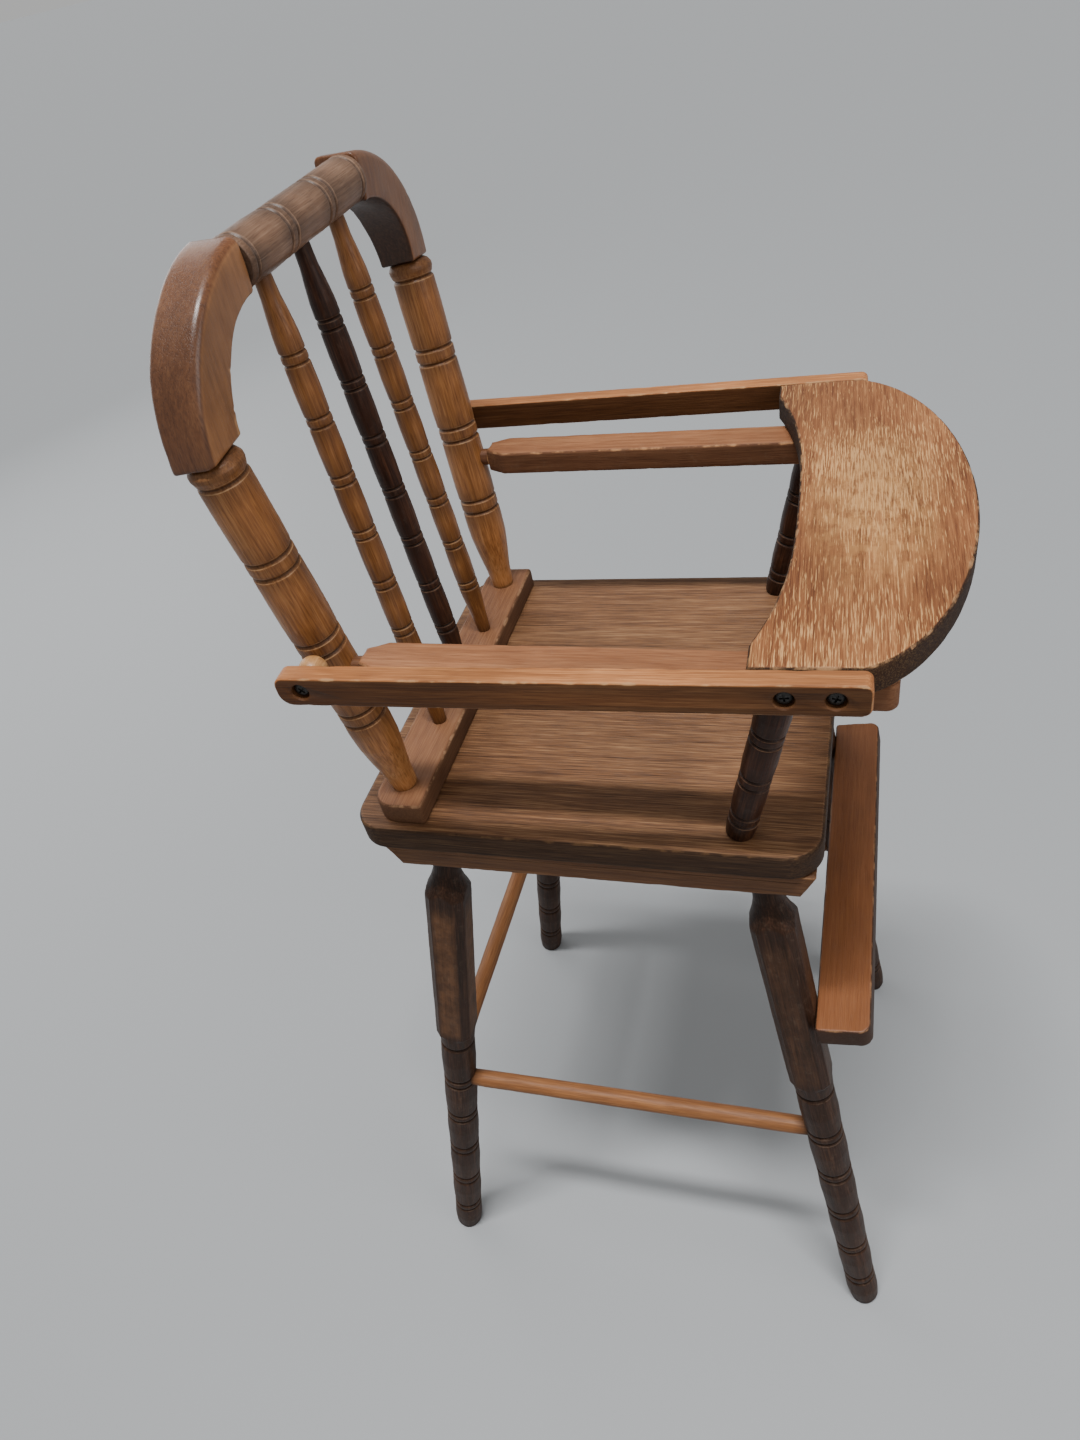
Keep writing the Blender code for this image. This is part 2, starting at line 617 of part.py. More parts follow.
# ------------------------------------------------------------------ stretchers and footrest
def build_stretcher(name, start, end, first_leg, second_leg, across):
    """Dowel between two leg axes, with its ends let into the legs."""
    axis = (end - start).normalized()
    start = start - axis * STRETCHER_SOCKET + axis * LEG_RADIUS
    end = end + axis * STRETCHER_SOCKET - axis * LEG_RADIUS
    length = (end - start).length
    radius = STRETCHER_RADIUS
    bm = turned([(0, radius), (length, radius)], DOWEL_SIDES)
    dowel = make_object(name, bm, HONEY, roughness=0.35, matrix=axis_matrix(start, end, across))
    reach = 2 * LEG_RADIUS
    socket(first_leg, name, start, start + axis * reach, radius, DOWEL_SIDES, across)
    socket(second_leg, name, end, end - axis * reach, radius, DOWEL_SIDES, across)
    return dowel


def build_stretchers(legs):
    for side, sign in SIDES.items():
        front = between(*leg_ends("front", sign), SIDE_STRETCHER_AT)
        rear = between(*leg_ends("rear", sign), SIDE_STRETCHER_AT)
        name = f"side_stretcher_{side}"
        build_stretcher(name, front, rear, legs["front", side], legs["rear", side], (1, 0, 0))
    right = between(*leg_ends("rear", -1), REAR_STRETCHER_AT)
    left = between(*leg_ends("rear", 1), REAR_STRETCHER_AT)
    build_stretcher("rear_stretcher", right, left, legs["rear", "right"], legs["rear", "left"],
                    (0, 1, 0))


def footrest_matrix():
    """Frame on the front legs' front faces: X across, Y rearwards, Z up along the legs."""
    head, foot = leg_ends("front", 1)
    lean = math.atan2(foot.y - head.y, head.z - foot.z)
    centre = between(head, foot, FOOTREST_AT)
    turn = Matrix.Rotation(-lean, 4, "X").inverted()
    return Matrix.Translation((0, centre.y, centre.z)) @ turn


def build_footrest():
    rear = -LEG_HALF_SQUARE - GAP
    radii = [FOOTREST_CORNER, FOOTREST_CORNER, FOOTREST_REAR_CORNER, FOOTREST_REAR_CORNER]
    half = FOOTREST_HALF_LENGTH
    outline = rounded_rectangle(-half, half, rear - FOOTREST_WIDTH, rear, radii)
    bm = prism(outline, -FOOTREST_THICKNESS / 2, FOOTREST_THICKNESS / 2)
    footrest = make_object("footrest", bm, HONEY, matrix=footrest_matrix())
    add_bevel(footrest, 1.2 * MM)
    return footrest


# ------------------------------------------------------------------ tray
def tray_outline():
    side = TRAY_ARM_INNER_X - GAP
    reach = math.degrees(math.acos(side / TRAY_ARC_X))
    centre = (0, TRAY_ARC_CENTRE_Y)
    front = arc(centre, TRAY_ARC_X, TRAY_ARC_Y, 180 + reach, 360 - reach, TRAY_ARC_STEPS)
    rear = [(side, TRAY_REAR_Y), (TRAY_HOLLOW_START_X, TRAY_REAR_Y)]
    for index in range(1, TRAY_HOLLOW_STEPS):
        fraction = 2 * index / TRAY_HOLLOW_STEPS - 1
        depth = TRAY_HOLLOW * (1 - abs(fraction) ** 3)
        rear.append((-TRAY_HOLLOW_START_X * fraction, TRAY_REAR_Y - depth))
    rear += [(-TRAY_HOLLOW_START_X, TRAY_REAR_Y), (-side, TRAY_REAR_Y)]
    return front + rear


def build_tray_board(lap):
    bm = prism(tray_outline(), GAP, GAP + TRAY_THICKNESS)
    board = make_object("tray_board", bm, TAN_TOP, matrix=lap)
    add_bevel(board, 1.5 * MM, segments=1, angle=50)
    return board


def tray_arm_low():
    return GAP + TRAY_THICKNESS - TRAY_ARM_HEIGHT


def build_tray_arm(side, sign, lap):
    """Bar drawn in its side view; its radii run from the front's lower corner round the rear."""
    low = tray_arm_low()
    radii = [3 * MM, 9 * MM, 7 * MM, 3 * MM]
    outline = rounded_rectangle(TRAY_ARM_FRONT_Y, TRAY_ARM_REAR_Y, low, low + TRAY_ARM_HEIGHT, radii)
    inner = sign * TRAY_ARM_INNER_X
    outer = sign * (TRAY_ARM_INNER_X + TRAY_ARM_THICKNESS)
    bm = prism(outline, min(inner, outer), max(inner, outer))
    arm = make_object(f"tray_arm_{side}", bm, REDDISH, matrix=lap @ side_view_matrix())
    add_bevel(arm, 1.5 * MM)
    return arm


def screw_mesh(length):
    """Pan head screw along -Z with its head's top at z = 0."""
    profile = [(-length, SCREW_TIP_RADIUS), (-length + SCREW_TIP, SCREW_SHANK_RADIUS)]
    profile += [(-SCREW_HEAD_HEIGHT, SCREW_SHANK_RADIUS), (-SCREW_HEAD_HEIGHT, SCREW_HEAD_RADIUS)]
    profile += [(-1 * MM, SCREW_HEAD_RADIUS), (0, SCREW_HEAD_RADIUS - 1.2 * MM)]
    return turned(profile, SCREW_SIDES)


def cross_outline(arm, half):
    """Plus sign with arms of the given reach and half width."""
    plus = [(arm, -half), (arm, half), (half, half), (half, arm), (-half, arm), (-half, half)]
    plus += [(-arm, half), (-arm, -half), (-half, -half), (-half, -arm), (half, -arm), (half, -half)]
    return plus


def build_screw(name, head_point, inward, length, holders):
    """Screw whose head's top is at head_point, with clearance holes through its holders."""
    direction = Vector(inward).normalized()
    across = (0, 1, 0) if abs(direction.x) > 0.5 else (1, 0, 0)
    matrix = axis_matrix(head_point, Vector(head_point) - direction, across)
    screw = make_object(name, screw_mesh(length), BLACK, roughness=0.4, metallic=0.7, matrix=matrix)
    plus = cross_outline(SCREW_HEAD_RADIUS * 0.62, SCREW_SLOT / 2)
    cut(screw, make_object(f"{name}.slot", prism(plus, -1.4 * MM, 1 * MM), BLACK, matrix=matrix))
    seat_depth = -SCREW_HEAD_HEIGHT - GAP
    profile = [(-length - GAP, SCREW_TIP_RADIUS + GAP), (-length + SCREW_TIP, SCREW_SHANK_RADIUS + GAP)]
    profile += [(seat_depth, SCREW_SHANK_RADIUS + GAP), (seat_depth, COUNTERBORE_RADIUS)]
    profile.append((COUNTERBORE_DEPTH + 4 * MM, COUNTERBORE_RADIUS))
    for holder in holders:
        cutter = make_object(f"{holder.name}.{name}", turned(profile, SCREW_SIDES), PALE, matrix=matrix)
        cut(holder, cutter)
    return screw


def build_ball(side, sign, lap):
    """Wooden ball with a flat against the inner face of its tray arm."""
    angles = [math.radians(a) for a in (20, 45, 70, 95, 120)]
    limit = math.acos(BALL_FLAT / BALL_RADIUS)
    profile = [(-BALL_RADIUS * math.cos(a), BALL_RADIUS * math.sin(a)) for a in angles]
    profile.append((BALL_RADIUS * math.cos(limit), BALL_RADIUS * math.sin(limit)))
    centre_x = TRAY_ARM_INNER_X - GAP - BALL_FLAT
    height = tray_arm_low() + TRAY_ARM_HEIGHT / 2
    centre = lap @ Vector((sign * centre_x, PIVOT_Y, height))
    toward_arm = centre + lap.to_3x3() @ Vector((sign, 0, 0))
    bm = turned(profile, DOWEL_SIDES)
    return make_object(f"pivot_ball_{side}", bm, PALE, matrix=axis_matrix(centre, toward_arm, (0, 1, 0)))


def tray_matrix():
    """Lap frame turned a little about the middle of the hinge line."""
    turn = Matrix.Translation((0, PIVOT_Y, 0)) @ Matrix.Rotation(TRAY_SKEW, 4, "Z")
    return lap_matrix() @ turn @ Matrix.Translation((0, -PIVOT_Y, 0))


def hang_on_pivot(parts, matrix):
    """Parent the swinging parts, and their cutters, to an empty on the hinge line."""
    pivot = bpy.data.objects.new("tray_pivot", None)
    bpy.context.scene.collection.objects.link(pivot)
    pivot.matrix_world = matrix
    bpy.context.view_layer.update()
    for part in parts:
        cutters = [modifier.object for modifier in part.modifiers if modifier.type == "BOOLEAN"]
        for obj in [part, *cutters]:
            obj.parent = pivot
            obj.matrix_parent_inverse = pivot.matrix_world.inverted()


def build_tray(posts):
    """The tray, its arms and its screws swing; the pivot screws and balls stay with the posts."""
    tray = tray_matrix()
    board = build_tray_board(tray)
    swinging = [board]
    middle = tray_arm_low() + TRAY_ARM_HEIGHT / 2
    for side, sign in SIDES.items():
        arm = build_tray_arm(side, sign, tray)
        ball = build_ball(side, sign, tray)
        swinging.append(arm)
        outer_x = TRAY_ARM_INNER_X + TRAY_ARM_THICKNESS
        head_x = sign * (outer_x - COUNTERBORE_DEPTH + SCREW_HEAD_HEIGHT)
        inward = tray.to_3x3() @ Vector((-sign, 0, 0))
        for place, y in TRAY_SCREWS_Y.items():
            head_point = tray @ Vector((head_x, y, middle))
            name = f"tray_screw_{side}_{place}"
            screw = build_screw(name, head_point, inward, TRAY_SCREW_LENGTH, (arm, board))
            swinging.append(screw)
        head_point = tray @ Vector((head_x, PIVOT_Y, middle))
        build_screw(f"pivot_screw_{side}", head_point, inward, PIVOT_SCREW_LENGTH,
                    (arm, ball, posts[side]))
    hang_on_pivot(swinging, tray @ Matrix.Translation((0, PIVOT_Y, middle)))


# ------------------------------------------------------------------ hidden screws
def build_frame_screws(seat, cleats, rail, footrest, legs):
    for side, sign in SIDES.items():
        for place, y in CLEAT_SCREWS_Y.items():
            x = sign * (CLEAT_OUTER_X - CLEAT_WIDTH / 2)
            head_point = (x, y, CLEAT_BOTTOM + 1 * MM)
            build_screw(f"cleat_screw_{side}_{place}", head_point, (0, 0, 1), CLEAT_SCREW_LENGTH,
                        (cleats[side], seat))
        head_point = (sign * RAIL_SCREW_X, (RAIL_FRONT_Y + RAIL_REAR_Y) / 2, SEAT_BOTTOM + 1 * MM)
        build_screw(f"rail_screw_{side}", head_point, (0, 0, 1), CLEAT_SCREW_LENGTH, (seat, rail))
        frame = footrest_matrix()
        leg_x = between(*leg_ends("front", sign), FOOTREST_AT).x
        head_point = frame @ Vector((leg_x, -LEG_HALF_SQUARE - GAP - FOOTREST_WIDTH + 4 * MM, 0))
        inward = frame.to_3x3() @ Vector((0, 1, 0))
        build_screw(f"footrest_screw_{side}", head_point, inward, FOOTREST_SCREW_LENGTH,
                    (footrest, legs["front", side]))


def centre_on_origin():
    """Move the whole chair so that its outline is centred on the origin."""
    for obj in bpy.data.objects:
        if obj.parent is None:
            obj.location.y -= OUTLINE_CENTRE_Y


def build_chair():
    clear_scene()
    seat = build_seat()
    cleats = build_cleats()
    rail = build_back_rail()
    crest = build_crest()
    blocks = build_shoulder_blocks(crest)
    posts = build_back_posts(rail, blocks)
    build_back_spindles(rail, crest)
    rests = build_armrests()
    build_armrest_necks(rests, posts)
    build_arm_posts(seat, rests)
    legs = build_legs(cleats)
    build_stretchers(legs)
    footrest = build_footrest()
    build_tray(posts)
    build_frame_screws(seat, cleats, rail, footrest, legs)
    centre_on_origin()


build_chair()
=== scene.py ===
"""Spool-turned wooden baby high chair: the looks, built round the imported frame."""
import math

import bmesh
import bpy
import numpy as np
from mathutils import Matrix, Vector, noise


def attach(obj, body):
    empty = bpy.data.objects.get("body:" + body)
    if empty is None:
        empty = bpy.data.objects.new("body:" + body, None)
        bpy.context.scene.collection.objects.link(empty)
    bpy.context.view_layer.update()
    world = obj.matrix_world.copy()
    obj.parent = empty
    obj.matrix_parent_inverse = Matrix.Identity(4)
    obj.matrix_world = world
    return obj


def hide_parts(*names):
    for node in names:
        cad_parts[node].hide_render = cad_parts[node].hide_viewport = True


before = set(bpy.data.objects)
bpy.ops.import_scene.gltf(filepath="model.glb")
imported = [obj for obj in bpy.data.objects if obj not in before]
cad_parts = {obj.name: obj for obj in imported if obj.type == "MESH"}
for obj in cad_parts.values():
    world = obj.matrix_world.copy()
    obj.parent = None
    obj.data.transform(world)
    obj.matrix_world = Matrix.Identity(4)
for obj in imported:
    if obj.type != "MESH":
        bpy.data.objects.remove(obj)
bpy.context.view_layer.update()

MM = 0.001
SIDES = {"right": -1, "left": 1}
# Sizes are drawn from a point under the middle of the seat, as the CAD's are
SHIFT = Matrix.Translation((0, 7.7 * MM, 0))

SEAT_TOP = 624 * MM
SEAT_BOTTOM = 603 * MM
RAIL_TOP = 641.3 * MM
CLEAT_BOTTOM = 582.7 * MM
LAP = Matrix.Translation((0, 0, 766.3 * MM)) @ Matrix.Rotation(math.radians(1.0), 4, "X")
PIVOT_Y = 137 * MM
TRAY_TURN = Matrix.Translation((0, PIVOT_Y, 0)) @ Matrix.Rotation(math.radians(1.85), 4, "Z")
TRAY = LAP @ TRAY_TURN @ Matrix.Translation((0, -PIVOT_Y, 0))
# Frame for outlines drawn in side view: local x, y, z become y, z, x
SIDE_VIEW = Matrix(((0, 0, 1, 0), (1, 0, 0, 0), (0, 1, 0, 0), (0, 0, 0, 1)))

# Back posts, shoulder blocks and crest, on the left side
POST_FOOT = Vector((125.4 * MM, 126.6 * MM, RAIL_TOP))
POST_HEAD = Vector((151.1 * MM, 147.7 * MM, 914 * MM))
CREST_Y = 142 * MM
CREST_Z = 987.5 * MM
CREST_HALF = 80 * MM
BLOCK_HALF = 15.5 * MM
BLOCK_SETBACK = 4.5 * MM
BLOCK_RADII = [2.2 * MM, 5.5 * MM, 4 * MM, 2.2 * MM]
BLOCK_STEPS = 44
HOLLOW_REACH = {"right": 52 * MM, "left": 57 * MM}

# Arms and tray
ARMREST_HALF = 14.3 * MM
ARMREST_X = 122.5 * MM + ARMREST_HALF
NECK_Z = -9.25 * MM
TRAY_SIDE = 171.1 * MM
TRAY_REAR = -122 * MM
TRAY_TOP = 19.3 * MM
TRAY_ARM_INNER = 171.4 * MM
TRAY_ARM_OUTER = 185 * MM
SCREW_Z = 8.8 * MM
SCREW_PLACES = {"front": -168 * MM, "rear": -142 * MM, "pivot": PIVOT_Y}

# Legs: top and bottom of the left ones' axes, and the square blank's half side and chamfer
LEG_HEADS = {"front": (132 * MM, -124 * MM), "rear": (132 * MM, 109 * MM)}
LEG_FEET = {"front": (180 * MM, -202 * MM), "rear": (186 * MM, 220 * MM)}
LEG_SEEDS = {"front": 60, "rear": 90}
# How much lighter the flats of each leg's square part are; the front legs' much less
LEG_FLAT_TINT = {"front": 0.3, "rear": 1.0}
BLANK_HALF = 16 * MM
BLANK_CHAMFER = 6 * MM
SIDE_STRETCHER_PART = 0.52
REAR_STRETCHER_PART = 0.45


# ---------- nodes
class Shader:
    """Small helper that adds and links shader nodes."""

    def __init__(self, name):
        self.material = bpy.data.materials.new(name)
        self.material.use_nodes = True
        self.tree = self.material.node_tree
        self.surface = self.tree.nodes["Principled BSDF"]

    def node(self, kind, inputs=None, **settings):
        made = self.tree.nodes.new(kind)
        for key, value in settings.items():
            setattr(made, key, value)
        for key, value in (inputs or {}).items():
            self.set(made.inputs[key], value)
        return made

    def set(self, socket, value):
        if isinstance(value, bpy.types.NodeSocket):
            self.tree.links.new(value, socket)
        else:
            socket.default_value = value

    def math(self, operation, a, b=0.0, clamp=False):
        made = self.node("ShaderNodeMath", operation=operation, use_clamp=clamp)
        self.set(made.inputs[0], a)
        self.set(made.inputs[1], b)
        return made.outputs[0]

    def noise(self, vector, scale, detail=4.0, rough=0.55, distortion=0.0):
        made = self.node("ShaderNodeTexNoise", {"Vector": vector, "Scale": scale, "Detail": detail,
                                                "Roughness": rough, "Distortion": distortion})
        return made.outputs[0]

    def stretched(self, vector, scale, offset=(0, 0, 0)):
        made = self.node("ShaderNodeMapping", {"Vector": vector, "Scale": scale, "Location": offset})
        return made.outputs[0]

    def remap(self, value, low, high, to_low=0.0, to_high=1.0):
        made = self.node("ShaderNodeMapRange", {"Value": value, "From Min": low, "From Max": high,
                                                "To Min": to_low, "To Max": to_high})
        return made.outputs[0]

    def ramp(self, value, stops):
        made = self.node("ShaderNodeValToRGB", {"Fac": value})
        elements = made.color_ramp.elements
        while len(elements) < len(stops):
            elements.new(0.5)
        for element, (position, colour) in zip(elements, stops):
            element.position = position
            element.color = (*colour, 1.0)
        return made.outputs[0]

    def mix(self, factor, a, b, blend="MIX"):
        made = self.node("ShaderNodeMix", data_type="RGBA", blend_type=blend)
        self.set(made.inputs[0], factor)
        for index, value in ((6, a), (7, b)):
            if isinstance(value, tuple):
                value = (*value, 1.0)
            self.set(made.inputs[index], value)
        return made.outputs[2]

    def centred(self, value, weight):
        return self.math("MULTIPLY", self.math("SUBTRACT", value, 0.5), weight)

    def attribute(self, name):
        return self.node("ShaderNodeAttribute", attribute_name=name).outputs["Fac"]

    def bump(self, height, strength, distance):
        made = self.node("ShaderNodeBump", {"Height": height, "Strength": strength, "Distance": distance})
        self.set(self.surface.inputs["Normal"], made.outputs[0])


def wood(name, dark, middle, light, axis="Z", seed=0.0, contrast=1.0, gloss=0.42, coat=0.1, specular=0.35,
         worn=(0.45, 0.22, 0.08), wear=0.8, dirt_and_shade_colour=(0.010, 0.005, 0.003), dirt_and_shade=0.85, broad_weight=0.8,
         fine_weight=1.0, rim=0.0, tint=None, tint_amount=0.6, dust=0.0, fleck=0.0,
         fleck_colour=(0.5, 0.30, 0.13), bump=0.35, blotch_range=(0.80, 1.14), grain=1.0, tint_floor=0.25):
    """Varnished wood with its grain along one local axis.

    The mesh says where things happen: "edge" is 1 on arrises, "groove" where the colour is darkened,
    which is dirt in cut grooves and painted shade in recesses and where parts meet, "rim" on the side
    faces of boards, which are darkened as painted shade with some of the wood's own darker edges, and
    "tint" where the colour shifts. A negative rim makes those faces lighter, a painted light.
    tint_floor is how much of the tint its mottle leaves where it is faintest.
    """
    s = Shader(name)
    point = s.node("ShaderNodeTexCoord").outputs["Object"]
    along = {"X": 0, "Y": 1, "Z": 2}[axis]

    def stretch(length, across, fineness=grain):
        factors = [across * fineness] * 3
        factors[along] = length
        return s.stretched(point, factors, (seed * 1.7, seed * 2.3 + 3, seed * 0.9))

    broad = s.noise(stretch(3.0, 45, 1.0), 1.0, 3.0, 0.55, 0.5)
    streak = s.noise(stretch(14, 300), 1.0, 3.0, 0.6, 0.3)
    fine = s.noise(stretch(34, 760), 1.0, 2.0, 0.6)
    pores = s.noise(stretch(70, 1300), 1.0, 1.0, 0.5)
    blotch = s.noise(stretch(8, 13, 1.0), 1.0, 3.0, 0.6)

    # Grain and open pores
    level = s.centred(broad, 1.5 * broad_weight * contrast)
    level = s.math("ADD", level, s.centred(streak, 1.5 * contrast))
    level = s.math("ADD", level, s.centred(fine, 1.7 * fine_weight * contrast))
    level = s.math("ADD", level, 0.5)
    colour = s.ramp(level, [(0.0, dark), (0.5, middle), (1.0, light)])
    pore = s.remap(pores, 0.34, 0.46, 1.0, 0.0)
    colour = s.mix(s.math("MULTIPLY", pore, 0.4 * fine_weight), colour, dark)

    # Places where the colour shifts, and pale flecks along the grain
    if tint:
        mottle = s.remap(s.noise(point, 90.0, 4.0, 0.65), 0.42, 0.57, tint_floor, 1.0)
        streaked = s.remap(streak, 0.3, 0.7, tint_amount * 0.55, tint_amount)
        amount = s.math("MULTIPLY", s.attribute("tint"), streaked)
        colour = s.mix(s.math("MULTIPLY", amount, mottle), colour, tint)
    if fleck:
        flecks = s.noise(stretch(62, 800), 1.0, 2.0, 0.6, 0.15)
        spread = s.noise(stretch(9, 9, 1.0), 1.0, 2.0, 0.5)
        level = s.math("ADD", flecks, s.centred(spread, 0.38))
        level = s.math("ADD", level, s.math("MULTIPLY", s.attribute("tint"), 0.08))
        colour = s.mix(s.remap(level, 0.560, 0.635, 0.0, fleck), colour, fleck_colour)

    # Lighter and darker patches, and painted shade on the side faces of boards (painted light where rim is
    # negative)
    shade = s.remap(blotch, 0.3, 0.7, *blotch_range)
    if rim:
        shade = s.math("MULTIPLY", shade, s.remap(s.attribute("rim"), 0.0, 1.0, 1.0, 1.0 - rim))
    tone = s.node("ShaderNodeCombineColor", {"Red": shade, "Green": shade, "Blue": shade}).outputs[0]
    colour = s.mix(1.0, colour, tone, "MULTIPLY")

    # Dirt in grooves and painted shade in recesses and where parts meet, rubbed arrises and dust
    speckle = s.noise(point, 420.0, 3.0, 0.6)
    dirt_and_shade_places = s.math("MULTIPLY", s.attribute("groove"), s.remap(speckle, 0.3, 0.6, 0.8, 1.0))
    colour = s.mix(s.math("MULTIPLY", dirt_and_shade_places, dirt_and_shade, clamp=True), colour, dirt_and_shade_colour)
    patchy = s.noise(s.stretched(point, (1, 1, 1), (seed, 1, 2)), 75.0, 5.0, 0.7)
    arris = s.remap(s.math("ADD", s.attribute("edge"), s.centred(patchy, 1.6)), 0.72, 1.02)
    colour = s.mix(s.math("MULTIPLY", arris, wear, clamp=True), colour, worn)
    if dust:
        scuff = s.noise(s.stretched(point, (1, 1, 0.7), (seed, 5, 0)), 160.0, 5.0, 0.75)
        colour = s.mix(s.remap(scuff, 0.55, 0.72, 0.0, dust), colour, (0.20, 0.145, 0.105))

    # Gloss, and the bump of the grain
    rough = s.remap(broad, 0.3, 0.7, gloss - 0.06, gloss + 0.10)
    rough = s.math("ADD", rough, s.math("MULTIPLY", arris, 0.15))
    if rim > 0:
        rough = s.math("ADD", rough, s.math("MULTIPLY", s.attribute("rim"), 0.25))
    rough = s.math("ADD", rough, s.math("MULTIPLY", dirt_and_shade_places, 0.25), clamp=True)
    s.set(s.surface.inputs["Base Color"], colour)
    s.set(s.surface.inputs["Roughness"], rough)
    s.surface.inputs["Specular IOR Level"].default_value = specular
    s.surface.inputs["Coat Weight"].default_value = coat
    s.surface.inputs["Coat Roughness"].default_value = 0.25
    height = s.math("ADD", s.math("MULTIPLY", streak, 0.5), s.math("MULTIPLY", fine, 0.7))
    height = s.math("SUBTRACT", height, s.math("MULTIPLY", pore, 0.4))
    s.bump(height, bump, 0.5 * MM)
    return s.material


def black_metal(name):
    s = Shader(name)
    point = s.node("ShaderNodeTexCoord").outputs["Object"]
    patches = s.noise(point, 900.0, 3.0, 0.6)
    colour = s.ramp(patches, [(0.35, (0.014, 0.014, 0.014)), (0.75, (0.075, 0.070, 0.065))])
    s.set(s.surface.inputs["Base Color"], colour)
    s.set(s.surface.inputs["Roughness"], s.remap(patches, 0.3, 0.7, 0.32, 0.55))
    s.surface.inputs["Metallic"].default_value = 0.6
    s.bump(patches, 0.2, 0.2 * MM)
    return s.material


# ---------- meshes
def add_mesh(name, bm, matrix=None):
    """Turn a bmesh into an object, drawn from the point under the middle of the seat."""
    mesh = bpy.data.meshes.new(name)
    bm.to_mesh(mesh)
    bm.free()
    obj = bpy.data.objects.new(name, mesh)
    bpy.context.scene.collection.objects.link(obj)
    if matrix:
        obj.matrix_world = SHIFT @ matrix
    return obj


def finish_piece(name, bm, matrix, material, body, nodes, sharp=40):
    """Put a mesh in place, let it ride on its body and stand for its CAD nodes."""
    obj = add_mesh(name, bm, matrix)
    obj.data.shade_smooth()
    obj.data.set_sharp_from_angle(angle=math.radians(sharp))
    obj.data.materials.append(material)
    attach(obj, body)
    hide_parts(*nodes)
    return obj


def axis_matrix(start, end, across=(1, 0, 0)):
    """Frame at start with Z towards end and Y square to across."""
    z_axis = (Vector(end) - Vector(start)).normalized()
    y_axis = z_axis.cross(Vector(across)).normalized()
    x_axis = y_axis.cross(z_axis)
    rotation = Matrix((x_axis, y_axis, z_axis)).transposed().to_4x4()
    return Matrix.Translation(start) @ rotation


def layers(bm):
    """The values at each vertex that the woods read."""
    names = ("edge", "groove", "rim", "tint")
    for name in names:
        bm.verts.layers.float.new(name)
    return [bm.verts.layers.float[name] for name in names]


def skin(bm, loops):
    """Join loops of the same number of vertices by quads, and close both ends."""
    for lower, upper in zip(loops, loops[1:]):
        for index in range(len(lower)):
            following = (index + 1) % len(lower)
            bm.faces.new((lower[index], lower[following], upper[following], upper[index]))
    bm.faces.new(loops[0][::-1])
    bm.faces.new(loops[-1])


def smooth_profile(points, step=0.8 * MM):
    """Fill a (distance, radius, edge, groove) profile so that no span is longer than a step."""
    filled = []
    for a, b in zip(points, points[1:]):
        count = max(1, math.ceil(math.dist(a[:2], b[:2]) / step))
        for index in range(count):
            filled.append(tuple(p + (q - p) * index / count for p, q in zip(a, b)))
    filled.append(points[-1])
    return filled


def lathe(profile, segments=48, wobble=0.12 * MM, seed=0.0, square=None):
    """Spin a profile about Z, with the slight unevenness of hand turning and old wood."""
    bm = bmesh.new()
    edge, groove, _rim, _tint = layers(bm)
    rings = []
    for distance, radius, edge_value, groove_value in profile:
        ring = []
        for index in range(segments):
            angle = math.tau * index / segments
            reach = radius
            if square:
                reach = min(radius, square(angle))
            spot = Vector((math.cos(angle) * 40, math.sin(angle) * 40, distance * 900 + seed))
            reach += noise.noise(spot * 0.05) * wobble + noise.noise(spot * 0.35) * wobble * 0.4
            vert = bm.verts.new((reach * math.cos(angle), reach * math.sin(angle), distance))
            vert[edge] = edge_value
            vert[groove] = groove_value
            ring.append(vert)
        rings.append(ring)
    skin(bm, rings)
    return bm


def cut_groove(distance, radius, depth=1.5 * MM, width=3.2 * MM):
    """One V groove with rubbed lips and a bottom darkened as dirt and painted shade."""
    half = width / 2
    side = [(half + 0.9 * MM, radius, 0.0, 0.0), (half + 0.2 * MM, radius - 0.12 * MM, 1.0, 0.0),
            (half * 0.5, radius - depth * 0.6, 0.25, 0.7)]
    before = [(distance - away, *rest) for away, *rest in side]
    after = [(distance + away, *rest) for away, *rest in reversed(side)]
    return before + [(distance, radius - depth, 0.0, 1.0)] + after


def spread_groove_darkening(points, reach=15 * MM, amount=0.5):
    """Darken a turned profile on both sides of its grooves and dark ends: painted shade, with some dirt."""
    dirt_and_shade_places = [distance for distance, _radius, _edge, groove in points if groove >= 1.0]
    shaded = []
    for distance, radius, edge, groove in smooth_profile(points):
        away = min(abs(distance - other) for other in dirt_and_shade_places)
        shaded.append((distance, radius, edge, max(groove, amount * max(0.0, 1 - away / reach))))
    return shaded


def cut_pair(distance, radius, spacing=10.5 * MM, **sizes):
    first = cut_groove(distance - spacing / 2, radius, **sizes)
    return first + cut_groove(distance + spacing / 2, radius, **sizes)


def turned_piece(name, foot, head, points, material, across=(1, 0, 0), seed=0.0,
                 wobble=0.12 * MM, segments=48):
    """One grooved piece of the frame, turned about the line from foot to head."""
    bm = lathe(spread_groove_darkening(points), segments, wobble, seed)
    return finish_piece(name, bm, axis_matrix(foot, head, across), material, "frame", [name])


def divided(outline, parts):
    """A closed outline with each side cut into as many parts as parts(length) says."""
    filled = []
    for a, b in zip(outline, outline[1:] + outline[:1]):
        count = parts(math.dist(a, b))
        for index in range(count):
            filled.append((a[0] + (b[0] - a[0]) * index / count, a[1] + (b[1] - a[1]) * index / count))
    return filled


def arc(centre, radius_x, radius_y, start, end, steps):
    angles = [math.radians(start + (end - start) * i / steps) for i in range(steps + 1)]
    return [(centre[0] + radius_x * math.cos(a), centre[1] + radius_y * math.sin(a)) for a in angles]


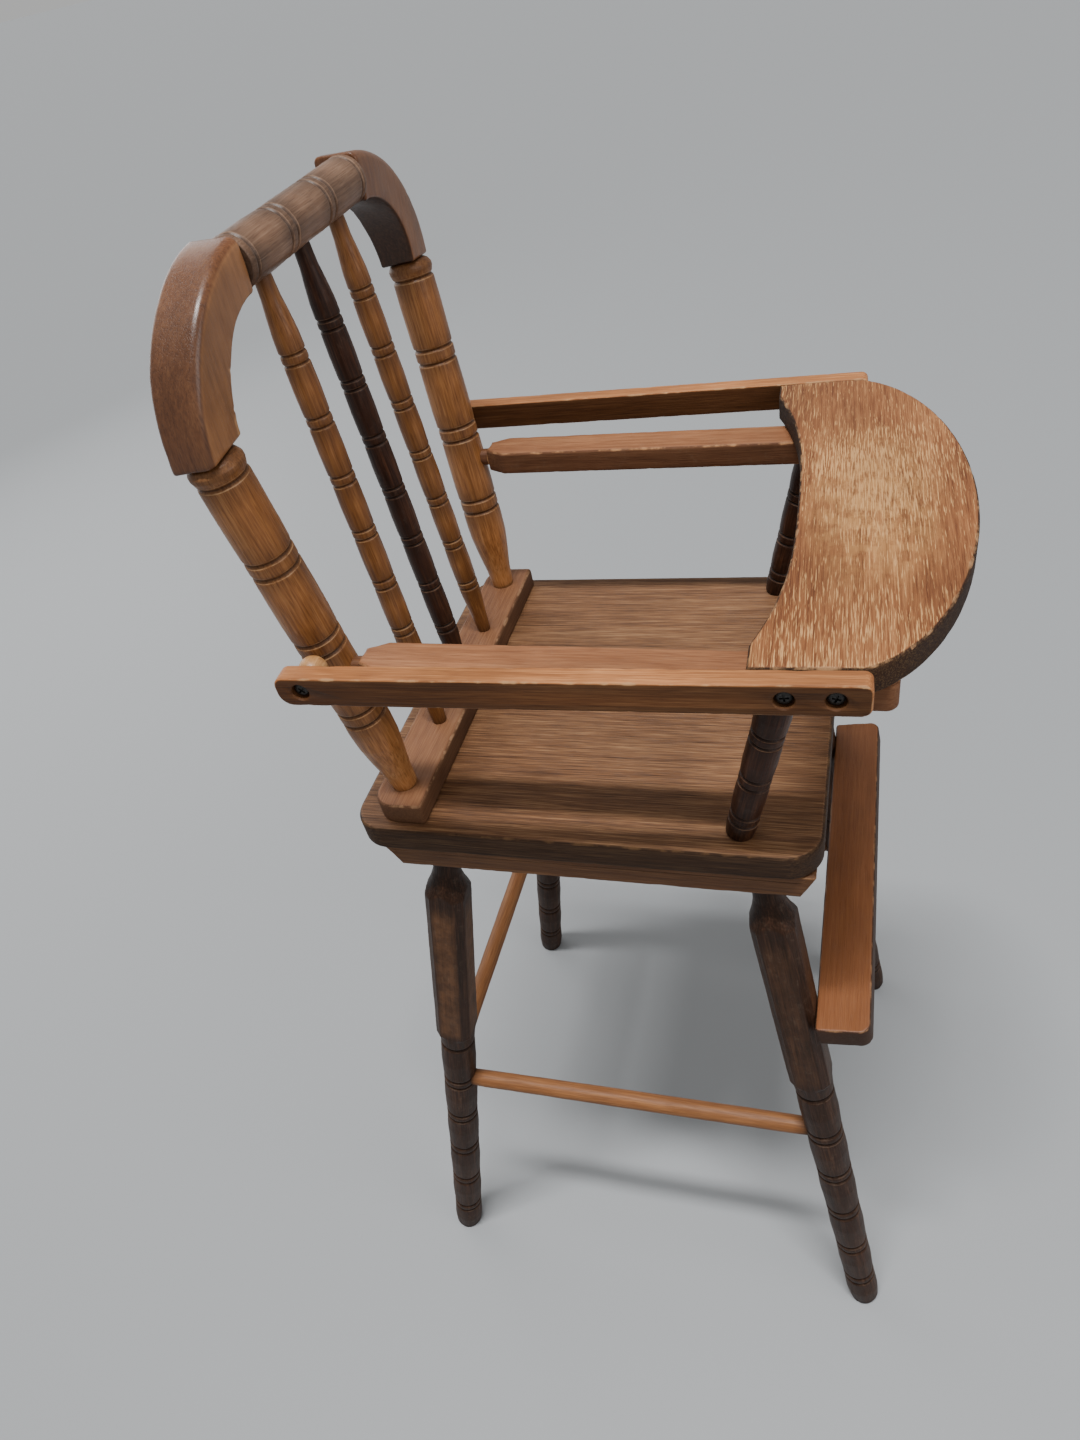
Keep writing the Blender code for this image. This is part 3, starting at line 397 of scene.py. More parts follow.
def rounded_rectangle(x_min, x_max, y_min, y_max, radii, steps=12):
    corners = [(x_min, y_min, 1, 1), (x_max, y_min, -1, 1), (x_max, y_max, -1, -1), (x_min, y_max, 1, -1)]
    outline = []
    for index, (x, y, in_x, in_y) in enumerate(corners):
        radius = radii[index]
        centre = (x + in_x * radius, y + in_y * radius)
        first = 180 + 90 * index
        if radius > 0.5 * MM:
            outline += arc(centre, radius, radius, first, first + 90, steps)
        else:
            outline.append((x, y))
    return outline


def inward_normals(outline):
    """Unit normals pointing into a counter-clockwise outline, averaged at each point."""
    points = np.array(outline)
    ahead = np.roll(points, -1, 0) - points
    ahead /= np.maximum(np.linalg.norm(ahead, axis=1, keepdims=True), 1e-9)
    behind = np.roll(ahead, 1, 0)
    tangent = ahead + behind
    tangent /= np.maximum(np.linalg.norm(tangent, axis=1, keepdims=True), 1e-9)
    return np.stack([-tangent[:, 1], tangent[:, 0]], 1)


def inset_points(points, normals, inset):
    """Outline moved inwards, with every point kept at least the inset away from every side."""
    moved = points + normals * inset
    spans = np.roll(points, -1, 0) - points
    lengths = (spans ** 2).sum(1)
    rows = np.arange(len(points))
    for _ in range(4):
        offsets = moved[:, None, :] - points[None]
        along = np.clip((offsets * spans[None]).sum(2) / lengths[None], 0, 1)
        away = offsets - along[..., None] * spans[None]
        distances = np.linalg.norm(away, axis=2)
        nearest = distances.argmin(1)
        closest = distances[rows, nearest]
        direction = away[rows, nearest] / np.maximum(closest, 1e-9)[:, None]
        moved += direction * np.maximum(0.0, inset - closest)[:, None]
    return moved


def board_sections(low, high, lower_radius, radius, rings):
    """(inset, height, edge) of each loop of a board, from the middle of its underside to its top's."""
    sections = []
    for extra in rings[::-1]:
        sections.append((lower_radius + extra * MM, low, max(0.0, 1 - extra / rings[-1]) * 0.3))
    turns = [math.radians(angle) for angle in range(0, 91, 18)]
    for turn in turns:
        height = low + lower_radius * (1 - math.cos(turn))
        sections.append((lower_radius * (1 - math.sin(turn)), height, 0.3 + 0.7 * math.sin(2 * turn)))
    straight = high - low - radius - lower_radius
    side_steps = max(1, int(straight / (3.5 * MM)))
    for index in range(1, side_steps):
        height = low + lower_radius + straight * index / side_steps
        away = min(index, side_steps - index)
        sections.append((0.0, height, 0.15 if away == 1 else 0.0))
    for turn in turns:
        height = high - radius * (1 - math.sin(turn))
        sections.append((radius * (1 - math.cos(turn)), height, 0.3 + 0.7 * math.sin(2 * turn)))
    for extra in rings:
        sections.append((radius + extra * MM, high, max(0.0, 1 - extra / rings[-1]) * 0.3))
    return sections


def board(outline, low, high, radius, step, rings, seed, chips, lower_radius=None):
    """Board with rounded arrises that wander and chip a little, as a closed mesh.

    Its outline is cut into steps, and rings are the distances in mm of the loops that frame its
    two faces just inside their arrises.
    """
    outline = divided(outline, lambda length: max(1, round(length / step)))
    area = sum(a[0] * b[1] - b[0] * a[1] for a, b in zip(outline, outline[1:] + outline[:1]))
    if area < 0:
        outline = outline[::-1]
    points = np.array(outline)
    normals = inward_normals(outline)
    bm = bmesh.new()
    edge, _groove, rim, _tint = layers(bm)
    loops = []
    for inset, height, edge_value in board_sections(low, high, lower_radius or radius, radius, rings):
        loop = []
        downwards = -0.7 if height > (low + high) / 2 else 0.7
        for point, spread, normal in zip(points, inset_points(points, normals, inset), normals):
            spot = Vector((point[0] * 90 + seed, point[1] * 90, height * 60))
            bite = max(0.0, noise.noise(spot) - 0.15) * 1.4 + max(0.0, noise.noise(spot * 4.1) - 0.35) * 2.0
            push = bite * chips * edge_value
            x, y = spread + normal * push
            vert = bm.verts.new((x, y, height + push * downwards))
            vert[edge] = min(1.0, edge_value * (0.75 + bite))
            # rim marks the side faces, which the woods darken as painted shade
            vert[rim] = 1.0 if inset < radius * 0.6 else 0.0
            loop.append(vert)
        loops.append(loop)
    skin(bm, loops)
    bmesh.ops.remove_doubles(bm, verts=bm.verts, dist=0.03 * MM)
    return bm


def place_board(name, bm, matrix, material, body="frame"):
    return finish_piece(name, bm, matrix, material, body, [name], sharp=50)


def cut_holes(obj, cutters):
    """Take cutters out of a finished piece and keep only its final mesh."""
    for index, cutter in enumerate(cutters):
        modifier = obj.modifiers.new(f"hole_{index}", "BOOLEAN")
        modifier.object = cutter
        modifier.operation = "DIFFERENCE"
        modifier.solver = "EXACT"
    bpy.context.view_layer.update()
    graph = bpy.context.evaluated_depsgraph_get()
    mesh = bpy.data.meshes.new_from_object(obj.evaluated_get(graph))
    obj.modifiers.clear()
    old = obj.data
    material = old.materials[0]
    obj.data = mesh
    mesh.materials.clear()
    mesh.materials.append(material)
    bpy.data.meshes.remove(old)
    for cutter in cutters:
        bpy.data.objects.remove(cutter)


def hole_cutter(matrix, radius, depth):
    """Flat-bottomed bore with a rubbed mouth, opening along +Z from z = 0."""
    # groove darkens the bore's walls and bottom: painted shade in the recess
    profile = [(-depth, radius - 0.2 * MM, 0.0, 1.0), (-depth * 0.4, radius, 0.0, 0.6),
               (-0.7 * MM, radius, 0.3, 0.2), (0.1 * MM, radius + 0.7 * MM, 1.0, 0.0),
               (4 * MM, radius + 0.7 * MM, 0.0, 0.0)]
    return add_mesh("hole", lathe(profile, 32, 0.0), matrix)


# ---------- materials
# Dark, middle and light of each wood's grain, as linear colours
SEAT_COLOURS = ((0.042, 0.017, 0.007), (0.145, 0.065, 0.028), (0.300, 0.160, 0.075))
TRAY_COLOURS = ((0.090, 0.027, 0.009), (0.195, 0.073, 0.026), (0.300, 0.132, 0.050))
ARMREST_COLOURS = ((0.135, 0.049, 0.020), (0.245, 0.101, 0.045), (0.345, 0.163, 0.076))
RAIL_COLOURS = ((0.125, 0.050, 0.023), (0.205, 0.090, 0.042), (0.280, 0.135, 0.065))
TRAY_ARM_COLOURS = ((0.040, 0.014, 0.005), (0.080, 0.031, 0.011), (0.125, 0.056, 0.022))
AMBER_COLOURS = ((0.100, 0.032, 0.009), (0.245, 0.096, 0.029), (0.390, 0.182, 0.066))
POST_COLOURS = ((0.095, 0.029, 0.008), (0.280, 0.112, 0.035), (0.440, 0.212, 0.080))
FOOTREST_COLOURS = ((0.130, 0.043, 0.014), (0.185, 0.067, 0.024), (0.240, 0.096, 0.036))
CREST_COLOURS = ((0.065, 0.028, 0.014), (0.195, 0.105, 0.062), (0.360, 0.225, 0.148))
BLOCK_COLOURS = ((0.055, 0.018, 0.006), (0.120, 0.044, 0.016), (0.190, 0.082, 0.032))
DARK_COLOURS = ((0.012, 0.004, 0.002), (0.034, 0.012, 0.006), (0.078, 0.030, 0.013))
LEG_COLOURS = ((0.013, 0.006, 0.003), (0.031, 0.014, 0.008), (0.066, 0.031, 0.017))
HONEY_COLOURS = ((0.100, 0.036, 0.011), (0.178, 0.070, 0.023), (0.270, 0.118, 0.042))
CLEAT_COLOURS = ((0.060, 0.023, 0.009), (0.115, 0.050, 0.020), (0.180, 0.087, 0.039))
PALE_COLOURS = ((0.200, 0.084, 0.027), (0.340, 0.165, 0.058), (0.470, 0.260, 0.105))

# A rim darkens a board's side faces: painted shade, with some of the wood's own darker edges
SEAT_WOOD = wood("seat_wood", *SEAT_COLOURS, "Y", 3.1, contrast=0.9, gloss=0.5, coat=0.0, rim=0.74,
                 specular=0.24, worn=(0.34, 0.18, 0.08), wear=0.2, bump=0.5, grain=2.6, broad_weight=0.45)
TRAY_WOOD = wood("tray_wood", *TRAY_COLOURS, "X", 7.7, contrast=0.9, gloss=0.5, coat=0.0, rim=0.86,
                 specular=0.22, fleck=0.8, fleck_colour=(0.51, 0.278, 0.110), tint=(0.49, 0.252, 0.086),
                 tint_amount=0.85, worn=(0.42, 0.23, 0.11), wear=0.6, bump=0.5, grain=1.5)
ARMREST_WOOD = wood("reddish_wood", *ARMREST_COLOURS, "Y", 1.3, contrast=0.6, gloss=0.45, coat=0.0,
                    specular=0.2, worn=(0.40, 0.20, 0.09), rim=0.45, grain=1.4, dust=0.12)
RAIL_WOOD = wood("rail_wood", *RAIL_COLOURS, "X", 5.9, contrast=0.6, gloss=0.5, coat=0.0,
                 specular=0.2, rim=0.5, worn=(0.34, 0.19, 0.10), wear=0.6, grain=1.6,
                 blotch_range=(0.7, 1.15))
# The tray arms' negative rim paints their tops, undersides and ends lighter than their sides: painted light
# from above
TRAY_ARM_WOOD = wood("tray_arm_wood", *TRAY_ARM_COLOURS, "X", 9.2, contrast=0.7, gloss=0.5, coat=0.0,
                     specular=0.16, worn=(0.42, 0.26, 0.13), wear=0.5, bump=0.3, grain=1.8, rim=-2.8)
# Its tint lightens the blocks' front faces: painted light
BLOCK_WOOD = wood("block_wood", *BLOCK_COLOURS, "Z", 4.4, contrast=0.5, gloss=0.36, coat=0.3, specular=0.25,
                  worn=(0.40, 0.22, 0.10), wear=0.8, blotch_range=(0.7, 1.2), tint=(0.290, 0.132, 0.052),
                  tint_amount=0.8, tint_floor=0.85)
AMBER = wood("amber_wood", *AMBER_COLOURS, "Z", 2.2, contrast=0.55, gloss=0.32, coat=0.1, specular=0.22,
             worn=(0.40, 0.24, 0.11), wear=0.5, blotch_range=(0.6, 1.3), dirt_and_shade_colour=(0.022, 0.008, 0.003))
POST_WOOD = wood("post_wood", *POST_COLOURS, "Z", 5.2, contrast=0.55, gloss=0.32, coat=0.1, specular=0.22,
                 worn=(0.42, 0.26, 0.13), wear=0.5, blotch_range=(0.55, 1.25), dirt_and_shade_colour=(0.026, 0.009, 0.003))
DARK = wood("dark_wood", *DARK_COLOURS, "Z", 6.1, contrast=0.7, gloss=0.35, coat=0.05, specular=0.16,
            worn=(0.20, 0.11, 0.06), wear=0.5, dust=0.1)
LEG_WOOD = wood("leg_wood", *LEG_COLOURS, "Z", 8.3, contrast=0.8, gloss=0.45, coat=0.0, specular=0.13,
                worn=(0.11, 0.080, 0.060), wear=0.4, dust=0.15, tint=(0.120, 0.054, 0.023),
                tint_amount=0.9, tint_floor=0.5)
HONEY = wood("honey_wood", *HONEY_COLOURS, "Z", 3.7, contrast=0.6, gloss=0.5, coat=0.0, specular=0.28,
             worn=(0.45, 0.25, 0.10), wear=0.4)
CLEAT_WOOD = wood("cleat_wood", *CLEAT_COLOURS, "X", 11.7, contrast=0.7, gloss=0.55, coat=0.0,
                  specular=0.2, worn=(0.34, 0.20, 0.09), wear=0.5, grain=1.6)
FOOTREST_WOOD = wood("footrest_wood", *FOOTREST_COLOURS, "X", 6.6, contrast=0.45, gloss=0.42, coat=0.05,
                     specular=0.28, rim=0.82, worn=(0.34, 0.17, 0.075), wear=0.5, grain=1.4, dust=0.08)
CREST_WOOD = wood("crest_wood", *CREST_COLOURS, "Z", 12.4, contrast=0.4, gloss=0.42, coat=0.1, specular=0.25,
                  worn=(0.32, 0.20, 0.13), wear=0.5, grain=1.6, dust=0.18, blotch_range=(0.35, 1.4))
NECK_WOOD = wood("neck_wood", *BLOCK_COLOURS, "Z", 1.4, contrast=0.6, gloss=0.42, coat=0.05, specular=0.3,
                 worn=(0.42, 0.21, 0.08))
PALE = wood("ball_wood", *PALE_COLOURS, "Z", 1.9, contrast=0.6, gloss=0.35, coat=0.1)
BLACK = black_metal("screw_metal")


# ---------- seat and rail
def add_seat():
    outline = rounded_rectangle(-156.5 * MM, 156.5 * MM, -165 * MM, 165 * MM, [24 * MM] * 4)
    bm = board(outline, SEAT_BOTTOM, SEAT_TOP, 2.6 * MM, 4 * MM, (1.2, 3, 6), seed=2, chips=0.12 * MM)
    place_board("seat", bm, Matrix.Identity(4), SEAT_WOOD)


def add_cleats():
    outline = [(-151 * MM, CLEAT_BOTTOM), (136 * MM, CLEAT_BOTTOM), (146 * MM, SEAT_BOTTOM - 0.3 * MM),
               (-161 * MM, SEAT_BOTTOM - 0.3 * MM)]
    for side, sign in SIDES.items():
        low, high = sorted((sign * 153 * MM, sign * 115 * MM))
        bm = board(outline, low, high, 0.9 * MM, 4 * MM, (1, 3, 5), seed=sign + 4, chips=0.5 * MM)
        place_board(f"seat_cleat_{side}", bm, SIDE_VIEW, CLEAT_WOOD)


def add_back_rail():
    radii = [3 * MM, 3 * MM, 17 * MM, 17 * MM]
    outline = rounded_rectangle(-149 * MM, 149 * MM, 106.5 * MM, 146 * MM, radii)
    bm = board(outline, SEAT_TOP + 0.3 * MM, RAIL_TOP, 2.6 * MM, 3 * MM, (0.8, 2), seed=8,
               lower_radius=1.2 * MM, chips=0.3 * MM)
    place_board("back_rail", bm, Matrix.Identity(4), RAIL_WOOD)


# ---------- back
# groove is where the wood is darkened: dirt in cut grooves, painted shade at the ends where a piece meets
# another part or the floor
def plain(distance, radius, edge=0.0, groove=0.0):
    return (distance, radius, edge, groove)


def post_points(length):
    """Tapered foot, three groove pairs between barrels, and a bead under the block."""
    points = [plain(-2 * MM, 9.0 * MM, 0, 1), plain(0.5 * MM, 9.1 * MM, 0.0, 0.8), plain(3 * MM, 9.3 * MM),
              plain(0.06 * length, 10.4 * MM, 0, 0.3), plain(0.12 * length, 13.0 * MM, 0, 0.2),
              plain(0.18 * length, 15.2 * MM), plain(0.24 * length, 15.8 * MM)]
    for fraction in (0.29, 0.52, 0.75):
        points += cut_pair(fraction * length, 15.6 * MM)
        points.append(plain((fraction + 0.07) * length, 15.9 * MM))
        points.append(plain((fraction + 0.14) * length, 15.9 * MM))
    points += cut_groove(length - 12 * MM, 15.7 * MM)
    points += [plain(length - 7 * MM, 16.5 * MM, 0.2, 0.6), plain(length - 4.5 * MM, 16.5 * MM, 0.2, 0.6),
               plain(length - 1.5 * MM, 14.6 * MM, 0.2, 0.7), plain(length - 0.3 * MM, 12.5 * MM, 0, 1)]
    return points


def spindle_points(length):
    """Thin ends and seven groove pairs along a gently swelling middle."""
    points = [plain(-2 * MM, 5.2 * MM, 0, 1), plain(0.5 * MM, 5.4 * MM, 0, 0.7),
              plain(0.03 * length, 5.9 * MM), plain(0.07 * length, 6.8 * MM), plain(0.11 * length, 8.0 * MM)]
    first, apart, pairs = 0.147, 0.1187, 7
    for index in range(pairs):
        points += cut_pair((first + apart * index) * length, 8.3 * MM, spacing=6.2 * MM,
                           depth=1.0 * MM, width=2 * MM)
        if index < pairs - 1:
            points.append(plain((first + apart * (index + 0.5)) * length, 8.6 * MM))
    points += [plain(0.90 * length, 8.1 * MM), plain(0.935 * length, 7.0 * MM),
               plain(0.965 * length, 5.9 * MM), plain(length, 5.5 * MM, 0, 0.6),
               plain(length + 3 * MM, 5.4 * MM, 0, 1)]
    return points


def crest_points(half):
    """Two groove pairs and a groove near each end, the same on both sides of the middle."""
    right = cut_pair(half / 3, 14.6 * MM, spacing=8 * MM) + [plain(half * 0.6, 14.9 * MM)]
    right += cut_groove(half - 7 * MM, 14.7 * MM)
    right += [plain(half - 4 * MM, 14.9 * MM), plain(half - 1 * MM, 14.4 * MM, 0.5),
              plain(half - 0.3 * MM, 13.6 * MM, 0.2, 0.7)]
    left = [(-distance, *rest) for distance, *rest in reversed(right)]
    return left + right


def add_back():
    for side, sign in SIDES.items():
        foot = Vector((sign * POST_FOOT.x, POST_FOOT.y, POST_FOOT.z))
        head = Vector((sign * POST_HEAD.x, POST_HEAD.y, POST_HEAD.z))
        points = post_points((head - foot).length)
        turned_piece(f"back_post_{side}", foot, head, points, POST_WOOD,
                     seed=sign * 3 + 5, wobble=0.2 * MM)
    for name, sign in (("right", -1), ("middle", 0), ("left", 1)):
        foot = Vector((sign * 57.9 * MM, 123.4 * MM, RAIL_TOP))
        head = Vector((sign * 51.8 * MM, 142.6 * MM, 972.7 * MM))
        points = spindle_points((head - foot).length)
        wood_used, slot = (DARK, "wood_dark") if name == "middle" else (AMBER, "wood_amber")
        turned_piece(f"back_spindle_{name}", foot, head, points, wood_used,
                     seed=sign * 7 + 20, segments=36)
    middle, beside = (0, CREST_Y, CREST_Z), (1, CREST_Y, CREST_Z)
    turned_piece("crest_rail", middle, beside, crest_points(CREST_HALF), CREST_WOOD,
                 across=(0, 1, 0), seed=31, wobble=0.3 * MM)


def block_section(turn, hollow):
    """Outer and inner point of a shoulder block's section, from the post (0) to the crest (90)."""
    angle = math.radians(turn)
    cos, sin = math.cos(angle), math.sin(angle)
    full = 1 - 0.03 * math.sin(2 * angle)
    outer = (CREST_HALF + 87.5 * MM * cos * full, POST_HEAD.z + 88.3 * MM * sin * full)
    inner = (CREST_HALF + hollow * cos, POST_HEAD.z + 58.7 * MM * sin)
    return outer, inner


def block_loop(bm, fields, side, turn):
    """One section of a shoulder block, tilted to the post's line near its foot."""
    edge, groove, _rim, tint = fields
    sign = SIDES[side]
    slope = (POST_HEAD - POST_FOOT) / (POST_HEAD.z - POST_FOOT.z)
    outer, inner = block_section(turn, HOLLOW_REACH[side])
    width = math.dist(outer, inner)
    section = rounded_rectangle(0, width, -BLOCK_HALF, BLOCK_HALF, BLOCK_RADII, 6)
    loop = []
    for along, depth in divided(section, lambda length: 5 if length > 6 * MM else 1):
        part = along / width
        x = inner[0] + (outer[0] - inner[0]) * part
        z = inner[1] + (outer[1] - inner[1]) * part
        rise = (z - POST_HEAD.z) / (CREST_Z - POST_HEAD.z)
        fade = max(0.0, 1 - (z - POST_HEAD.z) / (40 * MM))
        narrowed = 1 - 0.24 * max(0.0, 1 - turn / 32) if depth > 0 else 1
        y = POST_HEAD.y + (CREST_Y - POST_HEAD.y) * min(1.0, rise) + BLOCK_SETBACK + depth * narrowed
        z -= (slope.x * (x - POST_HEAD.x) + slope.y * depth) * fade
        corner = corner_amount(along, depth, width)
        spot = Vector((x * 70, y * 70, z * 70 + sign * 9))
        bite = max(0.0, noise.noise(spot) - 0.1) + max(0.0, noise.noise(spot * 4.3) - 0.3) * 1.8
        inset = bite * 0.7 * MM * corner
        x -= inset * (1 if part > 0.5 else -1) * 0.7
        y -= inset * (1 if depth > 0 else -1) * 0.7
        vert = bm.verts.new((sign * x, y, z))
        vert[edge] = min(1.0, corner * (0.5 + bite * 1.5) * block_wear(side, part, depth, turn))
        # Painted light on the front face, full on the right block and faint on the left; painted shade on
        # the left block's hollow inner face and where a block meets its post
        if depth < 0.5 * MM - BLOCK_HALF:
            vert[tint] = 1.0 if side == "right" else 0.2
        elif side == "left" and along < 1 * MM:
            vert[groove] = 0.95
        else:
            vert[groove] = 0.4 * max(0.0, 1 - turn / 60)
        loop.append(vert)
    return loop


def add_blocks():
    """Quarter rings with softened arrises, lofted from the post's head to the crest's end."""
    for side in SIDES:
        bm = bmesh.new()
        fields = layers(bm)
        turns = [90 * index / BLOCK_STEPS for index in range(BLOCK_STEPS + 1)]
        skin(bm, [block_loop(bm, fields, side, turn) for turn in turns])
        bmesh.ops.recalc_face_normals(bm, faces=bm.faces)
        ease_ends(bm)
        place_board(f"shoulder_block_{side}", bm, Matrix.Identity(4), BLOCK_WOOD)


def block_wear(side, part, depth, turn):
    """How rubbed a block's arrises are: most on the right one's inner front arris, next to the post."""
    if side == "left" or depth > 0:
        return 0.5
    if part > 0.5:
        return 0.8
    return 2.0 if turn < 36 else 0.8


def corner_amount(along, depth, width):
    """1 on a section's rounded corners, fading to 0 along its sides."""
    from_side = min(along, width - along)
    from_face = BLOCK_HALF - abs(depth)
    return max(0.0, 1 - (from_side + from_face) / (6 * MM))


def ease_ends(bm):
    """Round over the rims of a block's two end faces."""
    ends = [face for face in bm.faces if len(face.verts) > 8]
    rims = list({rim for face in ends for rim in face.edges})
    bmesh.ops.bevel(bm, geom=rims, offset=1.6 * MM, segments=3, profile=0.5, affect="EDGES")
    bmesh.ops.recalc_face_normals(bm, faces=bm.faces)


# ---------- arms
def armrest_outline(centre_x):
    """Chamfered behind, down to the round neck, with a rounded nose in front."""
    rear, front, nose = 113.5 * MM, -205 * MM, 7 * MM
    right = arc((ARMREST_HALF - nose, front + nose), nose, nose, -90, 0, 8)
    right += [(ARMREST_HALF, rear - 14 * MM), (7.5 * MM, rear)]
    left = [(-x, y) for x, y in reversed(right)]
    return [(x + centre_x, y) for x, y in right + left]


def add_armrests():
    for side, sign in SIDES.items():
        centre_x = sign * ARMREST_X
        bm = board(armrest_outline(centre_x), -18.5 * MM, 0, 2.2 * MM, 4 * MM, (1, 2.4, 4.2),
                   seed=sign * 5 + 40, chips=0.5 * MM)
        place_board(f"armrest_{side}", bm, LAP, ARMREST_WOOD)
        start = LAP @ Vector((centre_x, 108 * MM, NECK_Z))
        end = LAP @ Vector((centre_x, 127 * MM, NECK_Z))
        points = [plain(0, 6.5 * MM), plain(5.2 * MM, 7.6 * MM, 0.6), plain(6.2 * MM, 7.4 * MM, 1.0),
                  plain(7 * MM, 6.5 * MM, 0.3), plain(19 * MM, 6.5 * MM, 0, 0.4)]
        bm, matrix = lathe(smooth_profile(points), 32), axis_matrix(start, end)
        finish_piece(f"armrest_neck_{side}", bm, matrix, NECK_WOOD, "frame", [])


def arm_post_points(length):
    """Three groove pairs on a post that swells a little towards its head."""
    points = [plain(0, 8.2 * MM, 0, 1), plain(1.2 * MM, 9.3 * MM, 0.5, 0.3), plain(0.07 * length, 10 * MM)]
    for fraction in (0.15, 0.43, 0.73):
        radius = (9.8 + fraction) * MM
        points += cut_pair(fraction * length, radius, spacing=7.5 * MM, depth=1.3 * MM, width=2.4 * MM)
        points.append(plain((fraction + 0.13) * length, radius + 0.5 * MM))
    points += [plain(0.95 * length, 10.6 * MM), plain(length - 1.5 * MM, 10.2 * MM, 0, 0.3),
               plain(length, 9.2 * MM, 0, 1)]
    return points


def add_arm_posts():
    for side, sign in SIDES.items():
        foot = Vector((sign * 135.6 * MM, -112 * MM, SEAT_TOP - 0.6 * MM))
        head = LAP @ Vector((sign * 137 * MM, -142 * MM, -17.9 * MM))
        points = arm_post_points((head - foot).length)
        turned_piece(f"arm_post_{side}", foot, head, points, DARK,
                     seed=sign * 11 + 50, segments=36)


# ---------- legs
def leg_ends(end, sign):
    head = Vector((sign * LEG_HEADS[end][0], LEG_HEADS[end][1], CLEAT_BOTTOM))
    foot = Vector((sign * LEG_FEET[end][0], LEG_FEET[end][1], 0.0))
    return head, foot


def folded_angle(angle):
    """Angle from the nearest of the blank's four flats."""
    return abs((angle + math.pi / 4) % (math.pi / 2) - math.pi / 4)


def leg_square(angle):
    """Polar reach of the chamfered square blank."""
    folded = folded_angle(angle)
    flat = BLANK_HALF / math.cos(folded)
    slant = (2 * BLANK_HALF - BLANK_CHAMFER) / (math.cos(folded) + math.sin(folded))
    return min(flat, slant)


def leg_points(length):
    """(distance, turned radius) from the cleat to past the floor."""
    points = [plain(-1 * MM, 10 * MM, 0, 1), plain(2 * MM, 10 * MM, 0, 0.6), plain(0.025 * length, 9.9 * MM),
              plain(0.042 * length, 10.6 * MM), plain(0.056 * length, 12.6 * MM),
              plain(0.068 * length, 15.2 * MM), plain(0.080 * length, 18.6 * MM),
              plain(0.090 * length, 23 * MM), plain(0.10 * length, 26 * MM),
              plain(0.373 * length, 26 * MM), plain(0.381 * length, 21 * MM),
              plain(0.387 * length, 17.6 * MM), plain(0.393 * length, 16.2 * MM),
              plain(0.402 * length, 15.8 * MM)]
    for index, fraction in enumerate((0.418, 0.515, 0.615, 0.718, 0.822, 0.922)):
        radius = (15.4 - 1.5 * (fraction - 0.418) / 0.582) * MM
        if index == 0:
            points += cut_groove(fraction * length, radius, 1.8 * MM, 5 * MM)
        else:
            points += cut_pair(fraction * length, radius, spacing=9.5 * MM, depth=1.7 * MM, width=4.2 * MM)
        points.append(plain((fraction + 0.045) * length, radius + 0.5 * MM))
    points += [plain(0.985 * length, 13.9 * MM), plain(0.996 * length, 13.2 * MM, 0.3, 0.5),
               plain(length + 8 * MM, 9 * MM, 0, 1)]
    return points


def add_legs():
    for end in ("front", "rear"):
        for side, sign in SIDES.items():
            head, foot = leg_ends(end, sign)
            length = (foot - head).length
            matrix = axis_matrix(head, foot)
            seed = sign * 13 + LEG_SEEDS[end]
            bm = lathe(smooth_profile(leg_points(length), 2.0 * MM), 64, 0.22 * MM, seed, leg_square)
            mark_blank(bm, length, LEG_FLAT_TINT[end])
            cut_foot(bm, matrix.inverted())
            name = f"leg_{end}_{side}"
            finish_piece(name, bm, matrix, LEG_WOOD, "frame", [name], sharp=28)


def cut_foot(bm, inverse):
    """Saw a leg off level, just above the floor."""
    sliced = bmesh.ops.bisect_plane(bm, geom=bm.verts[:] + bm.edges[:] + bm.faces[:],
                                    plane_co=inverse @ Vector((0, 0, 0.2 * MM)),
                                    plane_no=inverse.to_3x3() @ Vector((0, 0, -1)), clear_outer=True)
    rim = [item for item in sliced["geom_cut"] if isinstance(item, bmesh.types.BMEdge)]
    bmesh.ops.edgeloop_fill(bm, edges=rim)
    bmesh.ops.recalc_face_normals(bm, faces=bm.faces)


def mark_blank(bm, length, amount):
    """Rubbed arrises where the blank's flats meet its chamfers, and a lighter colour on its flats."""
    edge, tint = bm.verts.layers.float["edge"], bm.verts.layers.float["tint"]
    for vert in bm.verts:
        if 0.07 * length < vert.co.z < 0.39 * length:
            folded = folded_angle(math.atan2(vert.co.y, vert.co.x))
            off = abs(folded - math.atan2(BLANK_HALF - BLANK_CHAMFER, BLANK_HALF)) * 17 * MM
            vert[edge] = max(vert[edge], max(0.0, 1 - off / (1.6 * MM)))
            flat = max(0.0, 1 - (folded / 0.54) ** 8)
            part = vert.co.z / length
            vert[tint] = amount * flat * max(0.0, min(1.0, (part - 0.09) / 0.03, (0.385 - part) / 0.015))


def leg_point(end, sign, part):
    """The point that far down a leg's axis."""
    head, foot = leg_ends(end, sign)
    return head.lerp(foot, part)


